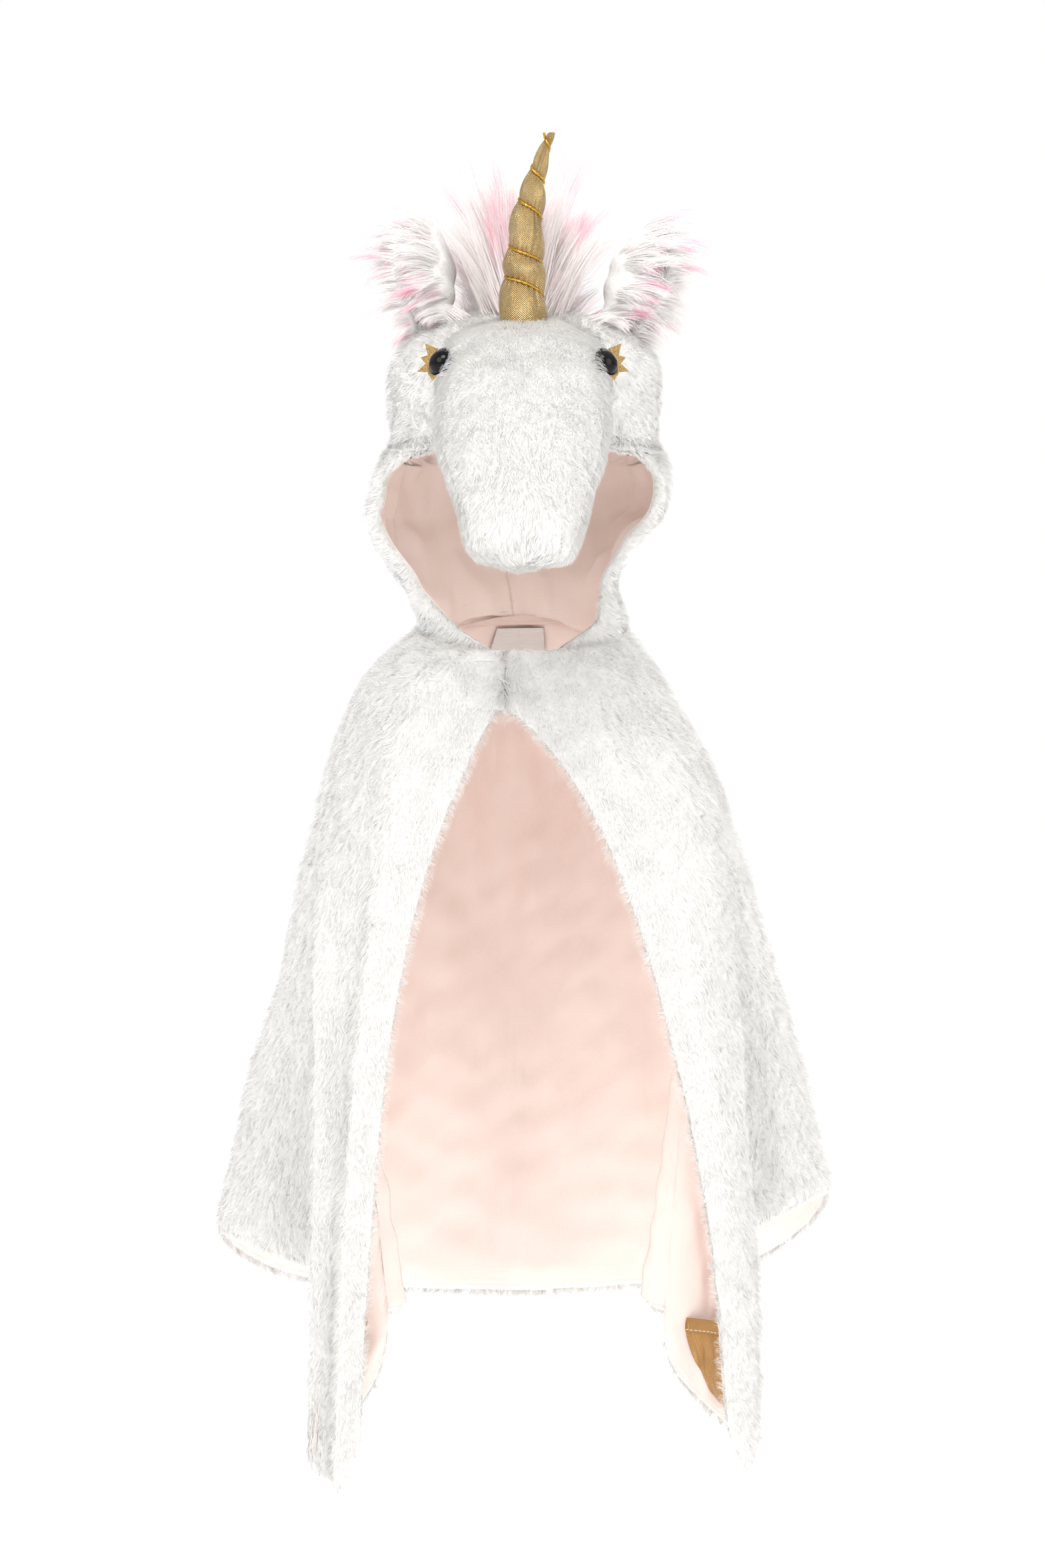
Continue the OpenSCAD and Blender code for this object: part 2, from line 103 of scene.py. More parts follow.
def through(points, share):
    """A smooth curve through points at each share of its way. A 3-D table has points for each share."""
    points = np.asarray(points, float)
    last = len(points) - 1
    x = np.clip(share * last, 0, last - 1e-6)
    i = np.floor(x).astype(int)
    f = (x - i)[:, None]
    each = np.arange(len(i))

    def at(k):
        return points[k, each] if points.ndim == 3 else points[k]

    b, c = at(i), at(i + 1)
    a = np.where((i > 0)[:, None], at(np.maximum(i - 1, 0)), 2 * b - c)
    d = np.where((i < last - 1)[:, None], at(np.minimum(i + 2, last)), 2 * c - b)
    return 0.5 * (2 * b + (c - a) * f + (2 * a - 5 * b + 4 * c - d) * f**2
                  + (3 * b - a - 3 * c + d) * f**3)


def lookup(x, table):
    """A table's second column against its first, on a smooth curve that doesn't overshoot."""
    xs, ys = np.array(table, float).T
    step = np.diff(xs)
    slope = np.diff(ys) / step
    product = np.maximum(slope[1:] * slope[:-1], 0)
    inner = 2 * product / np.where(product > 0, slope[1:] + slope[:-1], 1)
    lean = np.concatenate([slope[:1], inner, slope[-1:]])
    i = np.clip(np.searchsorted(xs, x) - 1, 0, len(step) - 1)
    t = np.clip((x - xs[i]) / step[i], 0, 1)
    return (ys[i] * (2 * t**3 - 3 * t**2 + 1) + ys[i + 1] * (3 * t**2 - 2 * t**3)
            + step[i] * (lean[i] * (t**3 - 2 * t**2 + t) + lean[i + 1] * (t**3 - t**2)))


WAVES = 12                 # sine waves that a ripple adds up


def ripple(points, size, seed):
    """Smooth noise of about unit strength over the points, in bumps of about that size."""
    rng = np.random.default_rng(seed)
    way = unit(rng.normal(size=(WAVES, 3))) * (2 * np.pi / size) * rng.uniform(0.6, 1.5, (WAVES, 1))
    return np.sin(points @ way.T + rng.uniform(0, 2 * np.pi, WAVES)).sum(1) * np.sqrt(2 / WAVES)


def swirl(points, size, seed):
    """A smooth random direction at each point."""
    return np.stack([ripple(points, size, seed + k) for k in range(3)], -1)


# ---------- the cape's shape ----------

NECK_HALF_WIDTH, NECK_HALF_DEPTH = 75, 66
BACK_HEM = 492
LEG = {LEFT: 108, RIGHT: 122}
PLUSH = 7                  # thickness of the plush with its pile
BACKING = 3.6              # thickness of the plush's woven back and the matted foot of the pile
ROOT = -PLUSH + BACKING - 0.2
CLOSURE_END = 57
VALLEY_U, LEG_U, HIP_U = 5.5 / 9, 0.56, 7 / 9
FLAP_HINGE = joint_at("throat_flap_open")[0]
FLAP_TOP = 20
THROAT = -11               # where the fronts meet, along X
FLAP_OVER = 4.5            # how far the flap's free edge reaches towards the other front


def side_reach(side, d):
    c = np.maximum(0, d)
    swell = 1 - np.exp(-c / 60)
    return 86 + 0.27 * c + 34 * swell if side == LEFT else 86 + 0.222 * c + 44 * swell


def chest_reach(d):
    return NECK_HALF_DEPTH + 40 * (1 - np.exp(-np.maximum(0, d - 12) / 60))


def back_reach(d):
    return NECK_HALF_DEPTH + 40 * (1 - np.exp(-(d + 24) / 50)) + 0.085 * (d + 24)


def front_edge(side, d):
    c = np.maximum(0, d - CLOSURE_END)
    if side == LEFT:
        return -7.5 + 179 * (1 - np.exp(-(c / 230) ** 0.85))
    return 13.5 + 109 * (1 - np.exp(-(c / 170) ** 0.9))


def slice_at(side, d):
    """Outline of half a level slice, from the front edge round to the middle of the back."""
    left = side == LEFT
    fold = ease((d - 60) / 220)
    w = side_reach(side, d)
    edge = pair(front_edge(side, d), -chest_reach(d) + 6 * fold)
    bend = soft_min(146 + 0.08 * (d - 110), 166) if left else 146 + 0.022 * (d - 110)
    crest = pair(soft_min(0.96 * w, bend), -mix(0.42 * chest_reach(d), 64 if left else 82, fold))
    along = crest - edge
    out = unit(pair(along[:, 1], -along[:, 0]))
    brow = mix(edge, crest, 0.35) + mix(21, 9, fold)[:, None] * out
    notch = mix(edge, crest, 0.7 if left else 0.6) + mix(20, 9 if left else 1, fold)[:, None] * out
    reach = (d - 100) / 390
    v = pair(soft_min(w, mix(150, 103, reach)), np.minimum(-4, mix(-4, -45, reach)))
    low_a = v + pair(2 * fold, -9)
    low_b = v + pair(2 * fold, 9)
    pleat = mix(crest, low_a, 0.5) + pair(3 * fold, 7 * fold)
    hip = pair(mix(0.985, 1, fold) * w, mix(34, 40, fold))
    blade = pair(0.74 * w, 0.76 * back_reach(d))
    spine = pair(0 * d, back_reach(d))
    return np.stack([edge, brow, notch, crest, pleat, low_a, low_b, hip, blade, spine, blade * [-1, 1]])


def turn_at(side, t):
    turns = [-8 if side == LEFT else 9.6, 22, 38, 56, 70, 82, 88, 100, 140, 180, 220]
    return through(np.array(turns)[:, None], 0.9 * t)[:, 0]


def neck_height(a):
    return 6 - 18 * turned(a)[1]


def top_at(side, t):
    return -neck_height(turn_at(side, t))


def hem_at(side, t):
    drop = 82 if side == LEFT else 52
    t = np.maximum(0, t)
    leg = BACK_HEM + LEG[side] * np.sqrt(np.maximum(0, 1 - (t / LEG_U) ** 2.2))
    leg = leg - 34 * np.maximum(0, 1 - t / 0.12) ** 2
    dip = drop * np.exp(-((t - HIP_U) / (0.1 if side == LEFT else 0.085)) ** 2)
    return np.where(t < LEG_U, leg, BACK_HEM - dip + 8 * ease((t - 0.86) / 0.14))


def cape_at(side, t, d):
    """A point of the cape's outer face, at the share t of a slice and the depth d."""
    p = through(slice_at(side, d), 0.9 * t)
    s = np.minimum(1, (d - top_at(side, t)) / 42)
    sine, cosine = turned(turn_at(side, t))
    neck = np.stack([side * NECK_HALF_WIDTH * sine, -NECK_HALF_DEPTH * cosine, -top_at(side, t)], -1)
    sway = -6 * np.exp(-((d - 30) / 45) ** 2)
    hung = np.stack([side * p[:, 0] + sway, p[:, 1], -d], -1)
    return mix(neck, hung, (1 - (1 - s) ** 2)[:, None])


def front_cloth(side, lap=0.0):
    """A front panel, which may reach past its seam by a share of a slice."""
    def at(u, v):
        t = (VALLEY_U + lap) * (1 - u if side == LEFT else u)
        return cape_at(side, t, mix(top_at(side, t), hem_at(side, t), v))
    return at


def back_cloth(u, v):
    t = mix(VALLEY_U, 1, np.where(u < 0.5, 2 * u, 2 - 2 * u))
    halves = [cape_at(s, t, mix(top_at(s, t), hem_at(s, t), v)) for s in (RIGHT, LEFT)]
    return np.where((u < 0.5)[:, None], *halves)


def sag(points):
    """Soft dents that run down the hanging plush, none at the neck."""
    tall = points * [1, 1, 0.3]
    below = ease((-points[:, 2] - 20) / 90)
    dents = 2.2 * ripple(tall, 95, 11) + 1.1 * ripple(tall, 42, 12)
    return below * dents + 0.5 * ripple(points, 24, 13)


def satin_wrinkles(points):
    """Wrinkles of the lining, which all stand inwards."""
    tall = points * [1, 1, 0.2]
    sharp = (1 - np.abs(ripple(tall, 110, 21))) ** 2 + 0.6 * (1 - np.abs(ripple(tall, 60, 22))) ** 2
    flat = 1 - 0.6 * np.exp(-((points[:, 2] + 10) / 35) ** 2)
    return -np.clip(2.6 * sharp + 0.5 * ripple(tall, 30, 23) + 0.5, 0, 6.5) * flat


# ---------- the hood's shape ----------

HEAD_WIDTH = [[-12, 75], [6, 76], [34, 80], [62, 96], [90, 112], [110, 110], [130, 103], [144, 99],
              [170, 101], [190, 100], [205, 95], [218, 83], [228, 64], [234, 43], [237, 22], [238, 3]]
HEAD_FRONT = [[-12, 66], [34, 68], [90, 76], [130, 88], [150, 95], [170, 98], [190, 95], [205, 88],
              [218, 74], [228, 55], [234, 37], [237, 20], [238, 3]]
HEAD_BACK = [[20, 67], [34, 76], [62, 94], [90, 104], [120, 109], [150, 110], [175, 106], [195, 96],
             [210, 83], [222, 66], [230, 49], [235, 32], [237, 20], [238, 3]]
FACE_EDGE = [[0, 22], [17, 53], [34, 62], [62, 67], [90, 69], [114, 70], [125, 62], [132, 46], [138, 0],
             [238, 0]]
LEVELS = [[0, 0], [0.3, 98], [0.47, 138], [0.8, 206], [0.93, 231], [1, 238]]


def hood_cloth(side):
    def at(u, v):
        h = lookup(v, LEVELS)
        a = mix(lookup(h, FACE_EDGE), 180, u if side == LEFT else 1 - u)
        z = np.where(h < 60, h + (neck_height(a) - 2) * (1 - h / 60), h)
        sine, cosine = turned(a)
        sway = -13 * np.exp(-((z - 52) / 38) ** 2) * ease((z + 5) / 30)
        reach = np.where(a < 90, lookup(z, HEAD_FRONT), lookup(z, HEAD_BACK))
        return np.stack([side * lookup(z, HEAD_WIDTH) * sine + sway, -reach * cosine, z], -1)
    return at


def hood_front(x, z):
    w = lookup(z, HEAD_WIDTH)
    return -lookup(z, HEAD_FRONT) * np.sqrt(np.maximum(0.02, 1 - (x / w) ** 2))


# Rings from the forehead to the nose: reach in front, height, half width, half height and tilt
MUZZLE_RINGS = [[70, 186, 66, 42, 0], [95, 177, 62, 43, 17], [120, 160, 62, 44, 32], [146, 136, 62, 42, 42],
                [168, 110, 57, 38, 48], [184, 84, 49, 34, 52], [198, 58, 42, 31, 58], [203, 46, 32, 22, 62],
                [205, 41, 6, 4, 62]]


def muzzle_cloth(u, v):
    reach, height, half_width, half_height, tilt = through(MUZZLE_RINGS, v).T
    sine, cosine = turned(360 * u)
    x = half_width * power(cosine, 0.84)
    h = half_height * power(sine, 0.84)
    y = -reach - h * turned(tilt)[0]
    z = height + h * turned(tilt)[1]
    buried = np.maximum(y, hood_front(x, z) + 6)
    return np.stack([x, mix(y, buried, 1 - ease(v / 0.16)), z], -1)


def head_crease(points):
    return 1.0 * ripple(points, 60, 31) + 0.5 * ripple(points, 26, 32)


# ---------- surfaces, meshes and pieces ----------

class Cloth:
    """A grid of points over a surface, with the outward normal at each."""

    def __init__(self, at, cols, rows, ring=False, settle=None):
        width = cols if ring else cols + 1
        u, v = np.meshgrid(np.arange(width) / cols, np.linspace(0, 1, rows + 1))
        self.u, self.v = u.ravel(), v.ravel()
        self.shape, self.ring, self.edges, self.wall = u.shape, ring, [], (-PLUSH + 0.5, ROOT)
        self.place(at(self.u, self.v))
        if not ring:
            e = 0.5 / cols
            self.across = unit(at(self.u + e, self.v) - at(self.u - e, self.v))
            self.normals = unit(np.cross(self.across, self.down))
            self.outward = self.normals
        if settle is not None:
            self.points = self.points + settle(self.points)[:, None] * self.normals
        row, col = np.mgrid[:rows, :cols]
        here, beside = row * width + col, row * width + (col + 1) % width
        self.faces = np.stack([here, beside, beside + width, here + width], -1).reshape(-1, 4)

    def place(self, points):
        self.points = points
        grid = points.reshape(*self.shape, 3)
        if self.ring:
            across = np.roll(grid, -1, 1) - np.roll(grid, 1, 1)
        else:
            across = np.gradient(grid, axis=1)
        down = np.gradient(grid, axis=0)
        self.across, self.down = unit(across).reshape(-1, 3), unit(down).reshape(-1, 3)
        self.normals = unit(np.cross(across, down)).reshape(-1, 3)
        self.outward = self.normals

    def only(self, keep):
        """Keeps the faces whose middles pass the test."""
        self.faces = self.faces[keep(self.points[self.faces].mean(1))]
        return self

    def layer(self, by):
        """The points moved out along their normals, all by one distance or each by its own."""
        return self.points + np.reshape(by, (-1, 1)) * self.normals

    def far_from(self, edge):
        """How far along the cloth each point lies from its left, right, top or bottom edge."""
        axis = 1 if edge in ("left", "right") else 0
        step = np.linalg.norm(np.diff(self.points.reshape(*self.shape, 3), axis=axis), axis=-1)
        if edge in ("left", "top"):
            return np.insert(np.cumsum(step, axis), 0, 0, axis).ravel()
        return np.flip(np.insert(np.cumsum(np.flip(step, axis), axis), 0, 0, axis), axis).ravel()

    def way_out(self, edge):
        """The direction along the cloth that leads out over an edge."""
        way = self.across if edge in ("left", "right") else self.down
        return way * (-1 if edge in ("left", "top") else 1)

    def turn_out(self, edges, reach=8, amount=1.2):
        """Tips the pile outwards near the named edges."""
        tilt = np.zeros_like(self.points)
        for edge in edges:
            share = amount * np.maximum(0, 1 - self.far_from(edge) / reach) ** 1.5
            tilt += share[:, None] * self.way_out(edge)
        self.outward = unit(self.normals + tilt)
        self.edges = edges
        return self

    def area(self):
        p = self.points[self.faces]
        return 0.5 * np.linalg.norm(np.cross(p[:, 2] - p[:, 0], p[:, 3] - p[:, 1]), axis=-1)


def new_object(name, points, corners, sizes, material, uv=None, uv_name="Weave"):
    """An object from points in millimetres, each face's corners one after another, and their numbers."""
    mesh = bpy.data.meshes.new(name)
    mesh.vertices.add(len(points))
    mesh.vertices.foreach_set("co", (np.asarray(points) * MM).astype(np.float32).ravel())
    mesh.loops.add(len(corners))
    mesh.loops.foreach_set("vertex_index", corners.astype(np.int32))
    mesh.polygons.add(len(sizes))
    mesh.polygons.foreach_set("loop_start", (np.cumsum(sizes) - sizes).astype(np.int32))
    mesh.update(calc_edges=True)
    mesh.polygons.foreach_set("use_smooth", np.ones(len(sizes), bool))
    if uv is not None:
        layer = mesh.uv_layers.new(name=uv_name)
        layer.data.foreach_set("uv", uv[corners].astype(np.float32).ravel())
    mesh.materials.append(material)
    piece = bpy.data.objects.new(name, mesh)
    bpy.context.scene.collection.objects.link(piece)
    return piece


def rides(body):
    return lambda piece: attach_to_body(piece, body)


def bends():
    return lambda piece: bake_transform(piece)


def finish_piece(piece, attach, replaced=()):
    attach(piece)
    if replaced:
        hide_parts(*replaced)
    return piece


def closed_cloth(name, cloth, outer, inner, material, attach, replaced=(), uv=None):
    """A piece that fills the space between two layers of a cloth, with a wall round every edge."""
    faces, count = cloth.faces, len(cloth.points)
    edges = np.concatenate([faces[:, [k, (k + 1) % 4]] for k in range(4)])
    lone = ~np.isin(edges[:, 1] * count + edges[:, 0], edges[:, 0] * count + edges[:, 1])
    rim = edges[lone]
    walls = np.stack([rim[:, 1], rim[:, 0], rim[:, 0] + count, rim[:, 1] + count], -1)
    quads = np.concatenate([faces, faces[:, ::-1] + count, walls])
    used, renamed = np.unique(quads, return_inverse=True)
    points = np.concatenate([cloth.layer(outer), cloth.layer(inner)])[used]
    both = None if uv is None else np.concatenate([uv, uv])[used]
    piece = new_object(name, points, renamed.reshape(-1), np.full(len(quads), 4), material, both)
    return finish_piece(piece, attach, replaced)


def declare_sheet(cloth):
    area = cloth.area().sum() * MM * MM


def dress(node, material):
    """Gives a carried-over part its finish."""
    slots = frame["nodes"][node].data.materials
    slots.clear()
    slots.append(material)


# ---------- hair ----------

FACES_IN_A_PIECE = 195000
FRINGE = 5                 # hairs to a millimetre along an edge
LOCK_STEPS = 9             # straight steps in a long hair


def strands(name, paths, facing, width, variety, material, attach):
    """Tapered ribbons along paths, each with the way its flat side looks and its share of tint."""
    count, levels = paths.shape[:2]
    side = unit(np.cross(unit(np.gradient(paths, axis=1)), facing[:, None]))
    half = 0.5 * width[:, None, None] * (np.linspace(1, 0, levels) ** 0.6)[None, :, None]
    edges = np.stack([paths - side * half, paths + side * half], 2)[:, :-1]
    points = np.concatenate([edges.reshape(count, -1, 3), paths[:, -1:]], 1)
    each = points.shape[1]
    quads = [[2 * k, 2 * k + 1, 2 * k + 3, 2 * k + 2] for k in range(levels - 2)]
    pattern = np.array(sum(quads, []) + [each - 3, each - 2, each - 1])
    sizes = np.array([4] * len(quads) + [3])
    height = np.append(np.repeat(np.arange(levels - 1), 2), levels - 1) / (levels - 1)
    faces_in_one = 2 * len(quads) + 1
    most = FACES_IN_A_PIECE // faces_in_one
    pieces = []
    for number, first in enumerate(range(0, count, most), 1):
        some = points[first:first + most]
        n = len(some)
        uv = pair(np.repeat(variety[first:first + most], each), np.tile(height, n))
        corners = (np.arange(n)[:, None] * each + pattern).ravel()
        piece = new_object(f"{name}_{number}", some.reshape(-1, 3), corners, np.tile(sizes, n), material,
                           0.02 + 0.96 * uv, "OFBake")
        pieces.append(finish_piece(piece, attach))
    return pieces


def roots_on(cloth, by, count, rng):
    """Random points on a cloth's layer, with the pile's way out, the cloth's way down and no push."""
    points = cloth.layer(by)
    corners = np.concatenate([cloth.faces[:, [0, 1, 2]], cloth.faces[:, [0, 2, 3]]])
    p = points[corners]
    size = np.linalg.norm(np.cross(p[:, 1] - p[:, 0], p[:, 2] - p[:, 0]), axis=-1)
    pick = rng.choice(len(corners), count, p=size / size.sum())
    a, b = np.sqrt(rng.random(count)), rng.random(count)
    share = np.stack([1 - a, a * (1 - b), a * b], -1)[:, :, None]
    return [(table[corners[pick]] * share).sum(1)
            for table in (points, cloth.outward, cloth.down, 0 * points)]


def roots_on_edge(cloth, edge, rng):
    """The fringe's roots, across the thickness of a cloth's edge, which point out of the edge."""
    number = np.arange(len(cloth.points)).reshape(cloth.shape)
    line = {"left": number[:, 0], "right": number[:, -1], "top": number[0], "bottom": number[-1]}[edge]
    way = cloth.way_out(edge)
    p = cloth.points[line]
    far = np.concatenate([[0], np.cumsum(np.linalg.norm(np.diff(p, axis=0), axis=1))])
    count = int(far[-1] * FRINGE)
    at = rng.uniform(0, far[-1], count)
    points, out, normal, down = [np.stack([np.interp(at, far, table[line][:, k]) for k in range(3)], -1)
                                 for table in (cloth.points, way, cloth.normals, cloth.down)]
    deep = rng.uniform(*cloth.wall, count)[:, None]
    return points + deep * normal, unit(out + (0.9 + deep / PLUSH) * normal), down, 0.9 * out


def pile(name, cloth, density, material, attach, length=7.2, width=0.42, lean=(26, 80), comb=None,
         root=ROOT, skip=None, trim=None, seed=1, slot="white_plush"):
    """Short pile over a cloth: density in hairs per square millimetre, lean in degrees from upright."""
    rng = np.random.default_rng(seed)
    count = int(density * cloth.area().sum())
    roots = [roots_on(cloth, root, count, rng), *(roots_on_edge(cloth, edge, rng) for edge in cloth.edges)]
    points, out, down, push = [np.concatenate(tables) for tables in zip(*roots)]
    if skip is not None:
        kept = ~skip(points)
        points, out, down, push = points[kept], out[kept], down[kept], push[kept]
    count = len(points)
    out = unit(out)
    lie = DOWN + 0 * points if comb is None else comb(points, down)
    lie = lie + 0.22 * swirl(points, 8, seed + 100) + 0.2 * swirl(points, 34, seed + 200)
    lie = lie + push + 0.1 * rng.normal(size=(count, 3))
    lie = unit(lie - (lie * out).sum(1)[:, None] * out)
    long = length * (1 + 0.07 * ripple(points, 8, seed + 300) + 0.08 * rng.normal(size=count))
    if trim is not None:
        long = long * trim(points)
    unruly = 3 * ripple(points, 9, seed + 400) + 4 * rng.normal(size=count)
    sine, cosine = turned(np.linspace(*lean, 3) + unruly[:, None])
    steps = cosine[:, :, None] * out[:, None] + sine[:, :, None] * lie[:, None]
    steps = steps * (long / 3)[:, None, None]
    paths = np.concatenate([points[:, None], points[:, None] + np.cumsum(steps, 1)], 1)
    twist = np.radians(11 * rng.normal(size=count))[:, None]
    facing = unit(np.cos(twist) * out + np.sin(twist) * np.cross(out, lie))
    variety = np.clip(0.5 + 0.16 * ripple(points, 14, seed + 500) + 0.14 * rng.normal(size=count), 0, 1)
    wide = width * rng.uniform(0.7, 1.2, count)
    return strands(name, paths, facing, wide, variety, material, attach)


def gathered(paths, lock_count, pull, rng):
    """Draws each hair to the middle one of its lock, most at the tip, and gives its lock's number too."""
    middle = paths[rng.choice(len(paths), lock_count, replace=False)]
    lock = np.concatenate([np.linalg.norm(some[:, None, 0] - middle[None, :, 0], axis=-1).argmin(1)
                           for some in np.array_split(paths, 1 + len(paths) // 2000)])
    share = pull * np.linspace(0, 1, paths.shape[1])[None, :, None] ** 0.9
    return mix(paths, middle[lock], share), lock


def locks(name, points, heading, length, material, attach, lock_count, tint, droop=0.05, curl=0.12,
          width=0.5, pull=0.8, seed=1):
    """Long hair from each point in locks, which sets out along its heading and bends under its weight."""
    rng = np.random.default_rng(seed)
    count = len(points)
    along = unit(heading)
    paths = [points]
    phase = 2 * np.pi * ripple(points, 30, seed + 10)[:, None]
    for k in range(LOCK_STEPS):
        wave = curl * np.sin(phase + 0.9 * k) * unit(swirl(points, 16, seed + 40))
        sink = droop * (k / LOCK_STEPS + 0.2) * DOWN
        along = unit(along + sink + wave + 0.03 * rng.normal(size=(count, 3)))
        paths.append(paths[-1] + along * (length / LOCK_STEPS)[:, None])
    paths, lock = gathered(np.stack(paths, 1), lock_count, pull, rng)
    facing = unit(rng.normal(size=(count, 3)) * 0.5 + [0, -1.5, 0.4])
    tint = tint + (0.3 * rng.normal(size=lock_count))[lock] + 0.08 * rng.normal(size=count)
    wide = width * rng.uniform(0.7, 1.3, count)
    return strands(name, paths, facing, wide, np.clip(tint, 0, 1), material, attach)


# ---------- materials ----------

def srgb(red, green, blue):
    c = np.array([red, green, blue]) / 255
    return tuple(np.where(c <= 0.04045, c / 12.92, ((c + 0.055) / 1.055) ** 2.4))


class Nodes:
    """A node tree, with short ways to add to it."""

    def __init__(self, tree):
        self.nodes, self.links = tree.nodes, tree.links

    def node(self, kind, inputs=None, **settings):
        made = self.nodes.new(kind)
        for key, value in settings.items():
            setattr(made, key, value)
        for key, value in (inputs or {}).items():
            if isinstance(value, bpy.types.NodeSocket):
                self.links.new(value, made.inputs[key])
            else:
                made.inputs[key].default_value = value
        return made

    def ramp(self, factor, *stops):
        made = self.node("ShaderNodeValToRGB", {"Fac": factor})
        elements = made.color_ramp.elements
        while len(elements) < len(stops):
            elements.new(0.5)
        for element, (place, color) in zip(elements, stops):
            element.position = place
            element.color = (*color, 1)
        return made.outputs["Color"]


class Paint(Nodes):
    """A material with a Principled shader."""

    def __init__(self, name, color, **sockets):
        self.material = bpy.data.materials.new(name)
        self.material.use_nodes = True
        super().__init__(self.material.node_tree)
        self.shader = self.nodes["Principled BSDF"]
        self.shader.inputs["Base Color"].default_value = (*color, 1)
        for socket, value in sockets.items():
            self.shader.inputs[socket.replace("_", " ")].default_value = value

    def place(self, scale=(1, 1, 1), turn=(0, 0, 0), uv=None):
        """Object coordinates, or those of a UV layer, scaled and turned."""
        if uv:
            source = self.node("ShaderNodeUVMap", uv_map=uv).outputs["UV"]
        else:
            source = self.node("ShaderNodeTexCoord").outputs["Object"]
        mapping = self.node("ShaderNodeMapping", {"Vector": source, "Scale": scale, "Rotation": turn})
        return mapping.outputs["Vector"]

    def noise(self, vector, scale, detail=3.0):
        made = self.node("ShaderNodeTexNoise", {"Vector": vector, "Scale": scale, "Detail": detail})
        return made.outputs["Fac"]

    def blend(self, factor, a, b, mode="MIX"):
        made = self.node("ShaderNodeMix", data_type="RGBA", blend_type=mode)
        for socket, value in zip((made.inputs[0], made.inputs[6], made.inputs[7]), (factor, a, b)):
            if isinstance(value, bpy.types.NodeSocket):
                self.links.new(value, socket)
            else:
                socket.default_value = value if np.isscalar(value) else (*value, 1)
        return made.outputs[2]

    def color(self, output):
        self.links.new(output, self.shader.inputs["Base Color"])

    def bump(self, height, distance, strength=1.0):
        made = self.node("ShaderNodeBump", {"Height": height, "Distance": distance, "Strength": strength})
        self.links.new(made.outputs["Normal"], self.shader.inputs["Normal"])

    def roughness(self, factor, low, high):
        made = self.node("ShaderNodeMapRange", {"Value": factor, "To Min": low, "To Max": high})
        self.links.new(made.outputs["Result"], self.shader.inputs["Roughness"])


def hair_material(name, root, tip, tinted=None):
    """Pile that lightens to its tips. Hairs past a share of their variety turn to the tint."""
    paint = Paint(name, tip, Roughness=0.75, Sheen_Weight=0.25, Sheen_Roughness=0.5)
    split = paint.node("ShaderNodeSeparateXYZ", {"Vector": paint.place(uv="OFBake")})
    plain = paint.ramp(split.outputs["Y"], (0.05, root), (0.75, tip))
    shade = paint.ramp(split.outputs["X"], (0.0, (0.95, 0.945, 0.935)), (0.6, (1, 1, 1)))
    color = paint.blend(1.0, plain, shade, "MULTIPLY")
    if tinted:
        share, near, far = tinted
        dyed = paint.ramp(split.outputs["Y"], (0.3, tip), (0.62, near), (0.95, far))
        chosen = paint.ramp(split.outputs["X"], (share, (0, 0, 0)), (min(1, share + 0.12), (1, 1, 1)))
        color = paint.blend(chosen, color, dyed)
    paint.color(color)
    return paint.material


def speckled(name, scale, detail, stops, bump=None, **sockets):
    """A finish whose colour follows a noise through the stops, and whose relief follows it too."""
    paint = Paint(name, stops[-1][1], **sockets)
    grain = paint.noise(paint.place(), scale, detail)
    paint.color(paint.ramp(grain, *stops))
    if bump:
        paint.bump(grain, *bump)
    return paint.material


def grained(name, color, roughness, scale, depth):
    low = tuple(0.93 * c for c in np.array(color))
    return speckled(name, scale, 4.0, [(0.3, low), (0.7, color)], (depth,), Roughness=roughness)


def satin_material():
    paint = Paint("pink_satin", srgb(244, 222, 212), Sheen_Weight=0.35, Sheen_Roughness=0.35)
    threads = paint.noise(paint.place(scale=(1, 1, 0.12)), 2600, 2.0)
    cloud = paint.noise(paint.place(scale=(1, 1, 0.3)), 12, 2.0)
    base = paint.ramp(cloud, (0.35, srgb(244, 221, 211)), (0.65, srgb(246, 226, 217)))
    paint.color(paint.blend(threads, base, srgb(250, 236, 229)))
    paint.roughness(threads, 0.36, 0.52)
    paint.bump(threads, 0.00012, 0.6)
    return paint.material


def lame_material(name, light, dark, pitch=1.15, metal=0.85):
    """Gold cloth: a fine slanting mesh of dark ground under bright foil."""
    paint = Paint(name, light, Metallic=metal, Roughness=0.34)
    weave = []
    for turn in (0.79, -0.79):
        vector = paint.place(turn=(0, 0, turn), uv="Weave")
        wave = paint.node("ShaderNodeTexWave", {"Vector": vector, "Scale": 3.14 / pitch, "Distortion": 0.6,
                                                "Detail": 1.0, "Detail Scale": 4.0}, wave_profile="SIN")
        weave.append(wave.outputs["Fac"])
    mesh = paint.node("ShaderNodeMath", {0: weave[0], 1: weave[1]}, operation="MULTIPLY").outputs[0]
    # Painted reflection: the foil is darkened to 0.7 of its colour in random patches, standing in for dark
    # surroundings mirrored in the gold.
    painted_reflection_patches = paint.noise(paint.place(), 60, 4.0)
    foil = paint.ramp(painted_reflection_patches, (0.35, tuple(0.7 * c for c in np.array(light))), (0.68, light))
    paint.color(paint.blend(paint.ramp(mesh, (0.02, (0, 0, 0)), (0.3, (1, 1, 1))), dark, foil))
    paint.roughness(mesh, 0.3, 0.12)
    crinkle = paint.noise(paint.place(), 190, 2.0)
    relief = paint.node("ShaderNodeMath", {0: crinkle, 1: 3.0, 2: mesh}, operation="MULTIPLY_ADD")
    paint.bump(relief.outputs[0], 0.00035, 0.8)
    return paint.material


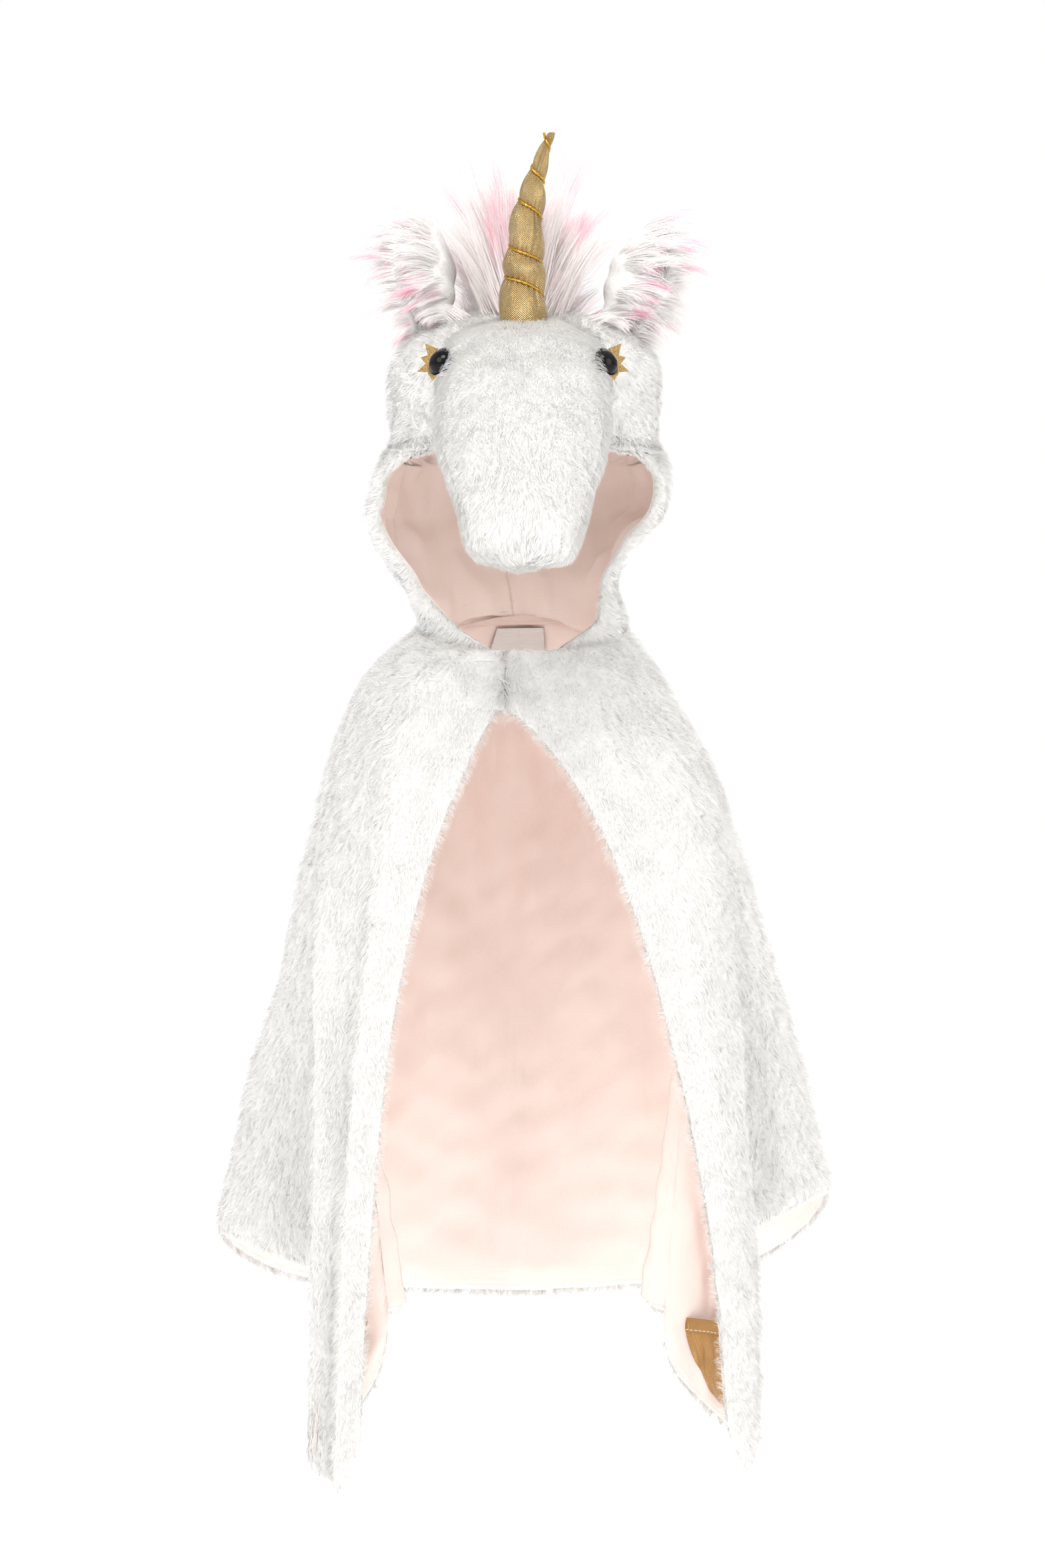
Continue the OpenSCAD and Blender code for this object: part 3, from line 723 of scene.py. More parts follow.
def tape_material(name, color, scale=380):
    paint = Paint(name, color, Roughness=0.85)
    rib = paint.node("ShaderNodeTexWave", {"Vector": paint.place(), "Scale": scale, "Distortion": 1.0},
                     bands_direction="Z")
    low = tuple(0.86 * c for c in np.array(color))
    paint.color(paint.ramp(rib.outputs["Fac"], (0.2, low), (0.8, color)))
    paint.bump(rib.outputs["Fac"], 0.0002)
    return paint.material


WHITE_TIP, WHITE_ROOT = srgb(250, 250, 249), srgb(243, 241, 238)
plush_hair = hair_material("white_pile", WHITE_ROOT, WHITE_TIP)
ear_hair = hair_material("ear_hair", WHITE_ROOT, srgb(252, 249, 248),
                         (0.62, srgb(251, 214, 224), srgb(243, 150, 182)))
mane_hair = hair_material("mane_hair", srgb(250, 240, 239), srgb(252, 247, 246),
                          (0.5, srgb(250, 222, 226), srgb(244, 178, 196)))
backing = speckled("plush_backing", 420, 3.0, [(0.3, srgb(236, 234, 231)), (0.7, srgb(246, 245, 243))],
                   (0.0006,), Roughness=0.95)
satin = satin_material()
horn_gold = lame_material("horn_lame", srgb(250, 222, 166), srgb(110, 84, 44), pitch=1.1, metal=1.0)
pocket_gold = lame_material("pocket_lame", srgb(208, 162, 100), srgb(158, 112, 56), metal=0.35)
lash_gold = speckled("lash_lame", 1100, 1.0, [(0.38, srgb(170, 128, 70)), (0.55, srgb(226, 190, 126))],
                     (0.0002, 0.6), Metallic=0.6, Roughness=0.42)
cord_gold = speckled("gold_cord", 1500, 2.0, [(0.35, srgb(128, 84, 12)), (0.5, srgb(192, 140, 34)),
                                              (0.68, srgb(244, 214, 124))],
                     (0.0002,), Metallic=0.8, Roughness=0.38)
eye_black = speckled("eye_black", 90, 2.0, [(0.4, (0.004, 0.004, 0.005)), (0.7, (0.014, 0.012, 0.012))],
                     Roughness=0.05, Specular_IOR_Level=0.2)
eye_rim = speckled("eye_rim", 260, 2.0, [(0.35, srgb(88, 78, 74)), (0.7, srgb(176, 164, 156))],
                   Roughness=0.12, Coat_Weight=0.5)
white_tape = tape_material("white_tape", srgb(240, 238, 234))
loop_tape = tape_material("loop_tape", srgb(246, 245, 243), 300)
neck_binding = tape_material("neck_binding", srgb(243, 222, 212))
washer = grained("washer_plastic", srgb(232, 232, 230), 0.4, 300, 0.00005)
thread = grained("white_thread", srgb(246, 242, 236), 0.7, 2500, 0.0001)
nose_thread = grained("nostril_thread", srgb(196, 176, 150), 0.8, 2500, 0.0001)

# ---------- cape ----------

on_cape = rides("cape")
to_front = {side: bends() for side in SIDES}


def in_flap(points, inside=0.0):
    return ((points[:, 0] > FLAP_HINGE + inside) & (points[:, 2] < -FLAP_TOP - inside)
            & (points[:, 2] > -CLOSURE_END + inside) & (points[:, 1] < 0))


def throat_fluff(points):
    """Longer pile by the closure, so that it covers where the fronts meet."""
    near = (np.abs(points[:, 0] - THROAT) < 8) & (points[:, 2] > -64) & (points[:, 1] < 0)
    return 1 + 0.9 * near


def cape_down(_, down):
    """The pile hangs down and a little towards the front edges."""
    return 0.55 * DOWN + 0.6 * down


def plush_cloth(name, cloth, attach, edges, replaced, flat, density=0.7, comb=cape_down, **options):
    """A plush panel: its woven back and the pile on it."""
    cloth.turn_out(edges)
    back = closed_cloth(f"{name}_plush", cloth, -PLUSH + BACKING, -PLUSH, backing, attach,
                        replaced)
    hair = pile(f"{name}_pile", cloth, density, plush_hair, attach, comb=comb, **options)
    declare_sheet(cloth)


SATIN, SATIN_GAP = 0.5, 0.1          # thickness of the satin and its play under the plush
LAP, LAP_DEPTH = 0.014, 1.3          # how far, in shares of a slice, a front's lining laps, and how deep


def satin_cloth(name, cloth, attach, replaced, seam=None):
    """A satin lining with its wrinkles, inside a plush panel; at its seam it laps over the next one."""
    near = np.min([cloth.far_from(edge) for edge in ("left", "right", "top", "bottom")], axis=0)
    sunk = -PLUSH - SATIN_GAP + (satin_wrinkles(cloth.points) - 0.4) * ease(near / 16)
    if seam:
        sunk = sunk - LAP_DEPTH * (1 - ease(cloth.far_from(seam) / 18))
    piece = closed_cloth(f"{name}_satin", cloth, sunk, sunk - SATIN, satin, attach, replaced)
    declare_sheet(cloth)


BACK_FLAT, FRONT_FLAT = (0.78, 0.56), (0.22, 0.66)  # metres


def inset(at, bottom):
    """The same surface, a share shorter at its bottom."""
    return lambda u, v: at(u, v * (1 - bottom))


def make_cape():
    back = Cloth(back_cloth, 150, 110, settle=sag)
    plush_cloth("back", back, on_cape, ["bottom"], ["back_panel"], BACK_FLAT, density=0.5, width=0.5)
    satin_cloth("back", Cloth(inset(back_cloth, 0.006), 150, 110, settle=sag), on_cape, ["back_lining"])
    for name, side in SIDES.items():
        outer = Cloth(front_cloth(side), 70, 130, settle=sag)
        bare = in_flap if side == RIGHT else None
        lining = Cloth(inset(front_cloth(side, LAP), 0.005), 70, 130, settle=sag)
        if side == RIGHT:
            outer.only(lambda p: ~in_flap(p, 2.5))
            lining.only(lambda p: ~in_flap(p, 2.5))
        edges = ["right" if side == LEFT else "left", "bottom"]
        plush_cloth(f"{name}_front", outer, to_front[name], edges,
                    [f"{name}_front_upper", f"{name}_front_lower"], FRONT_FLAT, seed=2 + side, skip=bare,
                    trim=throat_fluff)
        satin_cloth(f"{name}_front", lining, to_front[name],
                    [f"{name}_upper_lining", f"{name}_lower_lining"],
                    seam="left" if side == LEFT else "right")


FLAP_FLAT, UNDERLAP_FLAT = (0.03, 0.04), (0.05, 0.036)  # metres
FLAP_EDGE = 0.09           # over what share of the front, from its edge, the flap is drawn out


def make_closure():
    on_flap = rides("throat_flap")

    def flap_face(u, v):
        reach = FLAP_OVER * np.maximum(0, 1 - u / FLAP_EDGE)
        return front_cloth(RIGHT)(u, v) + reach[:, None] * [1, 0, 0]
    flap = Cloth(flap_face, 140, 300, settle=sag).only(in_flap)
    plush_cloth("closure_flap", flap, on_flap, ["left"], ["closure_flap"], FLAP_FLAT, seed=7,
                skip=lambda p: ~in_flap(p), trim=throat_fluff)

    def throat(u, v):
        d = mix(23, 54, v)
        return mix(cape_at(LEFT, 0.03 + 0 * u, d), cape_at(RIGHT, 0.05 + 0 * u, d), u[:, None])
    under = Cloth(throat, 24, 24, settle=lambda p: 0.4 * ripple(p, 14, 71))
    piece = closed_cloth("closure_underlap_satin", under, -11.2, -12.2, satin, on_cape,
                         ["closure_underlap"])
    declare_sheet(under)

    def tape(u, v):
        return cape_at(RIGHT, mix(0.01, 0.045, u), mix(26, 52, v))
    ground = Cloth(tape, 8, 20)
    pile("hook_tape_hooks", ground, 2.2, loop_tape, on_flap, length=1.0, width=0.3, lean=(0, 80),
         root=-8.6, comb=lambda p, d: -d, seed=72, slot="white_tape")
    pile("loop_tape_loops", ground, 2.2, loop_tape, on_cape, length=1.0, width=0.2, lean=(0, 120),
         root=-9.2, seed=73, slot="white_tape")
    for node in ("closure_hook_tape", "closure_loop_tape"):
        dress(node, loop_tape)


# ---------- hoof pockets ----------

POCKET_IN = PLUSH + 1 + 2.5
POCKET_TOP = BACK_HEM + 3
HEM = 9
STITCH_RINGS, STITCH_SIDES = 6, 6


def leg_inside(side, t, d):
    """Points of the pocket's layer, inside a leg's lining."""
    e = 0.01
    q = cape_at(side, t, d)
    along = cape_at(side, t + e, d) - cape_at(side, np.maximum(0, t - e), d)
    n = unit(np.stack([along[:, 1], -along[:, 0], 0 * d], -1)) * side
    return q - POCKET_IN * n


def pocket_cloth(side, d0, d1):
    def at(u, v):
        d = mix(d0, d1, v)
        s = (d - BACK_HEM) / LEG[side]
        back = LEG_U * np.maximum(0, 1 - s * s) ** (1 / 2.2)
        a = leg_inside(side, 0.045 + 0 * u, d)
        b = leg_inside(side, np.maximum(0.07, back - 0.05), d)
        return mix(a, b, (1 - u if side == LEFT else u)[:, None])
    return at


def tube_faces(rings, sides):
    """The corners and sizes of a tube's faces, with its ends."""
    row, col = np.mgrid[:rings - 1, :sides]
    here, beside = row * sides + col, row * sides + (col + 1) % sides
    faces = np.stack([here, beside, beside + sides, here + sides], -1)
    ends = [np.arange(sides)[::-1], (rings - 1) * sides + np.arange(sides)]
    return np.concatenate([faces.ravel(), *ends]), np.array([4] * (rings - 1) * sides + [sides] * 2)


def stitches(name, path, material, attach, gap=1.1, length=2.6, radius=0.28):
    """Short rounded stitches end to end along a path of points."""
    step = np.linalg.norm(np.diff(path, axis=0), axis=1)
    way = np.concatenate([[0], np.cumsum(step)])
    turn = np.linspace(0, 2 * np.pi, STITCH_SIDES + 1)[:-1]
    shares = np.linspace(0, 1, STITCH_RINGS)
    size = radius * np.sqrt(np.maximum(0.05, 1 - (2 * shares - 1) ** 2))
    points = []
    for start in np.arange(0.5, way[-1] - length, length + gap):
        at = start + length * shares
        line = np.stack([np.interp(at, way, path[:, k]) for k in range(3)], -1)
        run = unit(line[-1] - line[0])
        side = unit(np.cross(run, [0.3, 0.9, 0.2]))
        around = np.cos(turn)[:, None] * side + np.sin(turn)[:, None] * np.cross(run, side)
        points.append((line[:, None] + size[:, None, None] * around).reshape(-1, 3))
    corners, sizes = tube_faces(STITCH_RINGS, STITCH_SIDES)
    count = len(points)
    corners = (np.arange(count)[:, None] * STITCH_RINGS * STITCH_SIDES + corners).ravel()
    piece = new_object(name, np.concatenate(points), corners, np.tile(sizes, count), material)
    return finish_piece(piece, attach)


def make_pockets():
    for name, side in SIDES.items():
        attach = to_front[name]
        short, tall = (34, 0.085) if side == LEFT else (50, 0.069)
        low = BACK_HEM + LEG[side] - short

        def gathers(points):
            return 0.5 * ripple(points * [1, 1, 0.35], 13, 61) + 0.7 * ripple(points, 30, 62)
        cloth = Cloth(pocket_cloth(side, POCKET_TOP, low), 70, 90, settle=gathers)
        span = np.linalg.norm(cloth.points - cloth.points[0], axis=1)
        uv = pair(span, -cloth.points[:, 2]) / 10
        piece = closed_cloth(f"{name}_pocket_cloth", cloth, 0.0, -0.6, pocket_gold, attach,
                             [f"{name}_hoof_pocket"], uv)
        hem = Cloth(pocket_cloth(side, POCKET_TOP - 0.8, POCKET_TOP + HEM), 70, 14, settle=gathers)
        roll = 0.7 * np.sqrt(np.maximum(0, 1 - (2 * hem.v - 1) ** 2))
        edge = pair(np.linalg.norm(hem.points - hem.points[0], axis=1), -hem.points[:, 2]) / 10
        fold = closed_cloth(f"{name}_pocket_fold", hem, -0.5, -1.1 - roll, pocket_gold, attach,
                            [f"{name}_pocket_hem"], edge)
        sewn_at = POCKET_TOP + HEM - 1.6
        line = Cloth(pocket_cloth(side, sewn_at, sewn_at + 0.1), 60, 1, settle=gathers)
        row = line.layer(-1.6)[:61]
        sewn = stitches(f"{name}_pocket_stitches", row, thread, attach)
        declare_sheet(cloth)


# ---------- hood ----------

on_hood = rides("hood")
hood_bend = bends()


def head_comb(points, down):
    """The pile lies away from the crown and down the sides."""
    away = points * [1, 1, 0] / 110
    return 0.8 * DOWN + away + 0.3 * down


def by_eyes(points, reach=9):
    near = [np.linalg.norm(points - eye_spot(side)[0], axis=1) < reach for side in (LEFT, RIGHT)]
    return near[0] | near[1]


def by_lashes(points):
    """How much of its length the pile keeps: less where the lash cloth lies on it."""
    keep = np.ones(len(points))
    for side in (LEFT, RIGHT):
        p, x, y, _ = eye_spot(side)
        right, up = (points - p) @ x * side, (points - p) @ y
        away = np.hypot(right, up)
        under = (away < 30) & (right > -9) & (np.abs(up) < 26)
        keep = np.where(under, mix(0.66, 1, ease((away - 22) / 8)), keep)
        keep = np.where((away < 17) & (right < -4), 1.2, keep)
    return keep


EYE_TURN, EYE_WAY, EYE_RISE, EYE_FORWARD = 0.062, 0.19, 1.5, 0.42


def eye_spot(side):
    """Where an eye sits: its middle, and its right, up and outward directions."""
    u = np.array([EYE_TURN if side == LEFT else 0.5 - EYE_TURN])
    v = np.array([EYE_WAY])
    e = 0.004
    p = muzzle_cloth(u, v)[0]
    n = unit(np.cross((muzzle_cloth(u + e, v) - muzzle_cloth(u - e, v))[0],
                      (muzzle_cloth(u, v + e) - muzzle_cloth(u, v - e))[0]))
    look = unit(n - [0, EYE_FORWARD, 0])
    x = unit(np.cross([0, 0, 1], look))
    return p + EYE_RISE * n, x, np.cross(look, x), look


# The hood's lining at the neck: over what height it is tucked in, and how far down and inwards
TUCK_HEIGHT, TUCK_DOWN, TUCK_IN = 14, 13, 5
HOOD_FLAT, HOOD_LINING_FLAT = (0.3, 0.36), (0.32, 0.38)  # metres


def make_hood():
    for name, side in SIDES.items():
        outer = Cloth(hood_cloth(side), 70, 110, settle=head_crease)
        lining = Cloth(hood_cloth(side), 70, 110, settle=head_crease)
        tuck = (1 - ease(lining.far_from("top") / TUCK_HEIGHT))[:, None]
        lining.points = lining.points + tuck * (TUCK_DOWN * DOWN - TUCK_IN * lining.normals)
        edge = "left" if side == LEFT else "right"
        plush_cloth(f"hood_{name}", outer, hood_bend, [edge], [f"hood_{name}"], HOOD_FLAT, density=0.85,
                    seed=20 + side, comb=head_comb)
        satin_cloth(f"hood_{name}", lining, hood_bend, [f"hood_lining_{name}"])


SWELL_FRAMES = 20


def capped(cloth, by, name, material, uv=None):
    """A closed skin over a ring cloth, with a point at each end."""
    points = cloth.layer(by)
    rows, cols = cloth.shape
    quads = cloth.faces
    first, last = np.arange(cols), (rows - 1) * cols + np.arange(cols)
    middle = np.array([points[first].mean(0), points[last].mean(0)])
    start = np.stack([np.full(cols, rows * cols), np.roll(first, -1), first], -1)
    end = np.stack([np.full(cols, rows * cols + 1), last, np.roll(last, -1)], -1)
    corners = np.concatenate([quads.ravel(), start.ravel(), end.ravel()])
    sizes = np.concatenate([np.full(len(quads), 4), np.full(2 * cols, 3)])
    if uv is not None:
        uv = np.concatenate([uv, uv[first].mean(0)[None], uv[last].mean(0)[None]])
    return new_object(name, np.concatenate([points, middle]), corners, sizes, material, uv)


def places(piece):
    table = np.zeros(len(piece.data.vertices) * 3, np.float32)
    piece.data.vertices.foreach_get("co", table)
    return table.reshape(-1, 3)


def swell(cloth, piece, held, pressure, most):
    """Lets a capped skin swell under pressure, its held points pinned and no point moved further than most,
    and takes the cloth's points along."""
    group = piece.vertex_groups.new(name="held")
    pinned = np.flatnonzero(np.concatenate([held, [True, True]]))
    group.add([int(i) for i in pinned], 1.0, "REPLACE")
    skin = piece.modifiers.new("swell", "CLOTH")
    settings = skin.settings
    settings.quality = 6
    settings.mass = 0.2
    settings.use_pressure = True
    settings.uniform_pressure_force = pressure
    settings.vertex_group_mass = "held"
    settings.effector_weights.gravity = 0
    skin.point_cache.frame_start = 1
    skin.point_cache.frame_end = SWELL_FRAMES
    for number in range(1, SWELL_FRAMES + 1):
        bpy.context.scene.frame_set(number)
    start = places(piece)
    move = places(piece.evaluated_get(bpy.context.evaluated_depsgraph_get())) - start
    size = np.linalg.norm(move, axis=1, keepdims=True)
    move = move * np.minimum(1, most * MM / np.maximum(size, 1e-9))
    piece.modifiers.remove(skin)
    piece.vertex_groups.remove(group)
    bpy.context.scene.frame_set(1)
    after = (start + move) / MM
    piece.data.vertices.foreach_set("co", (after * MM).astype(np.float32).ravel())
    piece.data.update()
    count = len(cloth.points)
    cloth.place(cloth.points + (after[:count] - start[:count] / MM))


NOSTRIL = np.array([26.0, 57.0])      # how far to the side and up the nostrils' slits lie
SLIT = 8


def near_nostril(points):
    return ((np.abs(np.abs(points[:, 0]) - NOSTRIL[0]) < 1.3) & (np.abs(points[:, 2] - NOSTRIL[1]) < SLIT)
            & (points[:, 1] < -150))


def make_muzzle():
    cloth = Cloth(muzzle_cloth, 96, 84, ring=True, settle=lambda p: 0.8 * ripple(p, 42, 41))
    piece = capped(cloth, -PLUSH + 1, "muzzle_plush", backing)
    held = (cloth.v < 0.12) | by_eyes(cloth.points, 22)
    swell(cloth, piece, held, 4.0, 3.0)
    finish_piece(piece, on_hood, ["muzzle_cover", "muzzle_stuffing"])

    def comb(points, down):
        lie = down + 0.35 * DOWN + points * [0.004, 0, 0]
        for side in (LEFT, RIGHT):
            p, x, *_ = eye_spot(side)
            near = (np.linalg.norm(points - p, axis=1) < 17) & ((points - p) @ x * side < -4)
            lie = lie + near[:, None] * unit(p - points)
        return lie
    pile("muzzle_pile", cloth, 0.95, plush_hair, on_hood, comb=comb, seed=42, trim=by_lashes,
         skip=lambda p: by_eyes(p) | near_nostril(p))
    front = cloth.layer(-1.2)
    for name, side in SIDES.items():
        facing = (cloth.normals[:, 1] < 0) & (cloth.points[:, 1] < -150)
        row = []
        for z in np.linspace(NOSTRIL[1] + SLIT, NOSTRIL[1] - SLIT, 12):
            away = np.hypot(front[:, 0] - side * NOSTRIL[0], front[:, 2] - z) + 1e6 * ~facing
            best = np.argsort(away)[:4]
            share = 1 / (away[best] + 0.05)
            row.append((front[best] * share[:, None]).sum(0) / share.sum())
        stitches(f"{name}_nostril_stitches", np.array(row), nose_thread, on_hood, gap=1.6,
                 length=2.4, radius=0.4)


EYE_RADIUS, EYE_RIM = 10.6, 0.8       # out to the moulded rim's middle, and the rim's own radius


def make_eyes():
    a = np.radians(np.linspace(-125, 125, 48))[:, None]
    for name, side in SIDES.items():
        p, x, y, n = eye_spot(side)
        path = p - 0.2 * n + EYE_RADIUS * (side * np.cos(a) * x + np.sin(a) * y)
        piece = new_object(f"{name}_eye_rim", *tube(path, EYE_RIM), eye_rim)
        finish_piece(piece, on_hood)
        dress(f"{name}_eye", eye_black)
        dress(f"{name}_eye_washer", washer)
        dress(f"{name}_lashes", lash_gold)


# ---------- mane ----------

# The mane's root line, as reach to the back and height, and how far the hair rises along it
MANE_PATH = [[-46, 236], [-20, 239], [12, 240], [42, 234], [70, 221], [94, 195], [108, 165], [112, 136],
             [100, 104]]
MANE_RISE = [102, 122, 132, 130, 114, 84, 62, 54, 44]
MANE_HAIRS, MANE_FLUFF, MANE_LOCKS = 22000, 5000, 560      # the fluff is the short hairs at the root


def make_mane():
    rng = np.random.default_rng(51)
    count = MANE_HAIRS
    share = rng.random(count) ** 1.15
    path = through(MANE_PATH, share)
    ahead, behind = np.minimum(1, share + 0.01), np.maximum(0, share - 0.01)
    run = through(MANE_PATH, ahead) - through(MANE_PATH, behind)
    out = unit(pair(-run[:, 1], run[:, 0]))
    across = np.clip(rng.normal(size=count), -2, 2)
    short = np.arange(count) < MANE_FLUFF
    across[short] *= 2.2
    points = np.stack([9 * across, path[:, 0] + rng.normal(size=count) * 3, path[:, 1] - 6], -1)
    fan = 0.3 * across + 0.16 * ripple(points, 14, 52) + 0.06 * rng.normal(size=count)
    heading = np.stack([fan, out[:, 0] + 0.1 * ripple(points, 15, 53), out[:, 1]], -1)
    length = through(np.array(MANE_RISE)[:, None], share)[:, 0] * (1 + 0.1 * ripple(points, 9, 54))
    length = length * rng.uniform(0.5, 1.02, count) * (1 - 0.1 * np.abs(across))
    length = np.where(short, rng.uniform(20, 44, count), length)
    points[:, 2] -= np.where(short, 0.12 * across**2 * 9, 0)
    tint = 0.36 + 0.22 * ripple(points, 22, 55) + 0.1 * across - 0.5 * short
    hair = locks("mane_hair", points, heading, length, mane_hair, on_hood, MANE_LOCKS, tint,
                 curl=0.07, seed=56)
    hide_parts("mane")


# ---------- horn ----------

HORN_BASE = joint_at("horn_bend")
HORN_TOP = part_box("horn_cover")[1].z / MM
HORN_PROFILE = [17.4, 16.6, 15.4, 14.2, 12.4, 10.8, 9.4, 6.6, 4.2, 1.6]
HORN_SUNK = 22             # how far the horn's root reaches into the forehead's pile
# The horn's height share against the turns that the cord has made down to it
CORD_WAY = [[-0.06, 6], [0.238, 5], [0.385, 4], [0.622, 3], [0.792, 2], [0.95, 1], [0.985, 0.6]]
CORD = 0.95                # radius of the cord


def horn_axis(t):
    rise = HORN_TOP - HORN_BASE[2] + HORN_SUNK
    up = np.maximum(0, t)
    return HORN_BASE - [0, 0, HORN_SUNK] + np.stack([20 * up**3.2, -14 * up, rise * t], -1)


def horn_radius(t):
    return through(np.array(HORN_PROFILE)[:, None], t)[:, 0]


def cord_turn(t):
    return lookup(t, CORD_WAY)


def horn_cloth(u, v):
    phase = cord_turn(v) - u - 0.25
    f = phase - np.floor(phase)
    puff = 1 - np.abs(2 * f - 1) ** 2.1
    r = horn_radius(v)
    pinch = r * 0.13 + 0.4
    a = 2 * np.pi * u
    wrinkle = 0.05 * r * np.cos(19 * a + 2 * np.sin(9 * v)) * np.exp(-np.minimum(f, 1 - f) / 0.14)
    slack = 0.03 * r * ripple(np.stack([60 * np.cos(a), 60 * np.sin(a), 160 * v], -1), 46, 81)
    sine, cosine = turned(360 * u)
    around = (r + 1.4 * puff - pinch * (1 - puff) + wrinkle + slack * puff)[:, None]
    return horn_axis(v) + around * np.stack([cosine, sine, 0 * u], -1)


def tube(path, radius, sides=8, twist=0.0, lobes=0.0):
    """Points and faces of a round or two-lobed cord along a path."""
    run = unit(np.gradient(path, axis=0))
    side = unit(np.cross(run, [0.05, 0.02, 1.0]))
    up = np.cross(run, side)
    way = np.concatenate([[0], np.cumsum(np.linalg.norm(np.diff(path, axis=0), axis=1))])
    a = np.linspace(0, 2 * np.pi, sides + 1)[:-1]
    r = radius * (1 + lobes * np.cos(2 * a[None] + twist * way[:, None]))
    around = np.cos(a)[None, :, None] * side[:, None] + np.sin(a)[None, :, None] * up[:, None]
    ring = path[:, None] + r[:, :, None] * around
    return ring.reshape(-1, 3), *tube_faces(len(path), sides)


def make_horn():
    on_horn = rides("horn")
    cloth = Cloth(horn_cloth, 120, 240, ring=True)
    uv = pair(cloth.u * 100, cloth.v * 145) / 10
    piece = capped(cloth, 0.0, "horn_lame_cover", horn_gold, uv)
    phase = cord_turn(cloth.v) - cloth.u - 0.25
    near = np.abs(phase - np.round(phase)) < 0.05
    swell(cloth, piece, near | (cloth.v < 0.03) | (cloth.v > 0.97), 3.0, 1.2)
    finish_piece(piece, on_horn, ["horn_cover", "horn_stuffing"])
    t = np.linspace(0.975, 0.075, 760)
    turn = cord_turn(t)
    sine, cosine = turned(360 * (turn - 0.25))
    r = horn_radius(t) * 0.87 - 0.4 + CORD * 0.75
    path = horn_axis(t) + r[:, None] * np.stack([cosine, sine, 0 * t], -1)
    cord = new_object("horn_wound_cord", *tube(path, CORD, 10, 2.6, 0.16), cord_gold)
    finish_piece(cord, on_horn, ["horn_cord"])
    a = np.linspace(0, 1, 60)
    knot = path[0] + np.stack([2.6 * np.sin(2 * np.pi * a) + 1.5 * a, 1.6 * np.cos(4 * np.pi * a) - 2,
                               1.5 * np.sin(6 * np.pi * a) + 2 * a], -1)
    bow = new_object("horn_cord_knot", *tube(knot, 0.8, 8, 2.6, 0.16), cord_gold)
    finish_piece(bow, on_horn)


# ---------- ears ----------

EAR_TIP = {LEFT: np.array([103, -18, 298]), RIGHT: np.array([-79, -16, 304])}
EAR_SHAPE = [13, 14, 18, 20, 20, 17, 12, 2.5]
EAR_HAIRS, EAR_LOCKS = 9500, 150
EAR_SUNK = 0.2


def ear_frame(side):
    root = joint_at("left_ear_bend" if side == LEFT else "right_ear_bend")
    up = unit(EAR_TIP[side] - root)
    facing = unit(np.cross(up, np.cross([side * 0.86, -0.5, 0], up)))
    return root, up, facing, np.cross(up, facing)


def ear_cloth(side):
    root, _, facing, across = ear_frame(side)

    def at(u, v):
        sine, cosine = turned(mix(-118, 118, u))
        r = through(np.array(EAR_SHAPE)[:, None], v)
        middle = mix(root, EAR_TIP[side], ((1 + EAR_SUNK) * v - EAR_SUNK)[:, None])
        return middle + r * (-cosine[:, None] * facing + sine[:, None] * across)
    return at


def make_ears():
    for name, side in SIDES.items():
        attach = rides(f"{name}_ear")
        root, up, facing, _ = ear_frame(side)
        cloth = Cloth(ear_cloth(side), 40, 36, settle=lambda p: 0.6 * ripple(p, 22, 91))
        cloth.turn_out(["left", "right", "bottom"], reach=7, amount=0.9)
        cloth.wall = (-2.6, 0.2)
        back = closed_cloth(f"{name}_ear_plush", cloth, 0.2, -1.2, backing, attach,
                            [f"{name}_ear_back"])
        fur = pile(f"{name}_ear_pile", cloth, 0.7, plush_hair, attach, length=9, root=0.0, seed=92 + side,
                   comb=lambda p, down: 0.8 * down + 0.35 * DOWN)
        lining = closed_cloth(f"{name}_ear_inner", cloth, -1.6, -2.6, backing, attach,
                              [f"{name}_ear_lining"])
        rng = np.random.default_rng(95 + side)
        points, out, *_ = roots_on(cloth, -2.6, EAR_HAIRS, rng)
        way = side * np.array([1.0, 0, 0])
        heading = -0.35 * out + 0.75 * way + 0.25 * up + 0.3 * facing + 0.13 * swirl(points, 14, 96)
        height = (points - root) @ up / np.linalg.norm(EAR_TIP[side] - root)
        heading = heading + (0.4 * (height - 0.6))[:, None] * up
        low = height < 0.92
        points, heading, height = points[low], heading[low], height[low]
        length = mix(12, 56, rng.random(len(points)) ** 2.0) * (1 - 0.35 * np.abs(height - 0.45))
        hair = locks(f"{name}_ear_hair", points, heading, length, ear_hair, attach, EAR_LOCKS,
                     0.42 + 0.2 * ripple(points, 14, 97), droop=0.12, curl=0.07, width=0.36, pull=0.65,
                     seed=98 + side)
        declare_sheet(cloth)
        declare_sheet(cloth)


# ---------- studio ----------

VIEW_DISTANCE = 3.0
VIEW_HEIGHT = 1.152        # metres of height that the view takes in at the object
VIEW_MIDDLE = -0.1107
SENSOR = 36
SKY_STRENGTH, FLOOR_GLOW = 0.5, 0.65
FLOOR_REACH, FLOOR_DEPTH, FLOOR_SIDES = 30000.0, -1050.0, 64


def area_light(name, place, target, size, watts):
    light = bpy.data.lights.new(name, "AREA")
    light.shape = "DISK"
    light.size = size
    light.energy = watts
    lamp = bpy.data.objects.new(name, light)
    bpy.context.scene.collection.objects.link(lamp)
    lamp.location = place
    lamp.rotation_euler = (Vector(target) - Vector(place)).to_track_quat("-Z", "Y").to_euler()


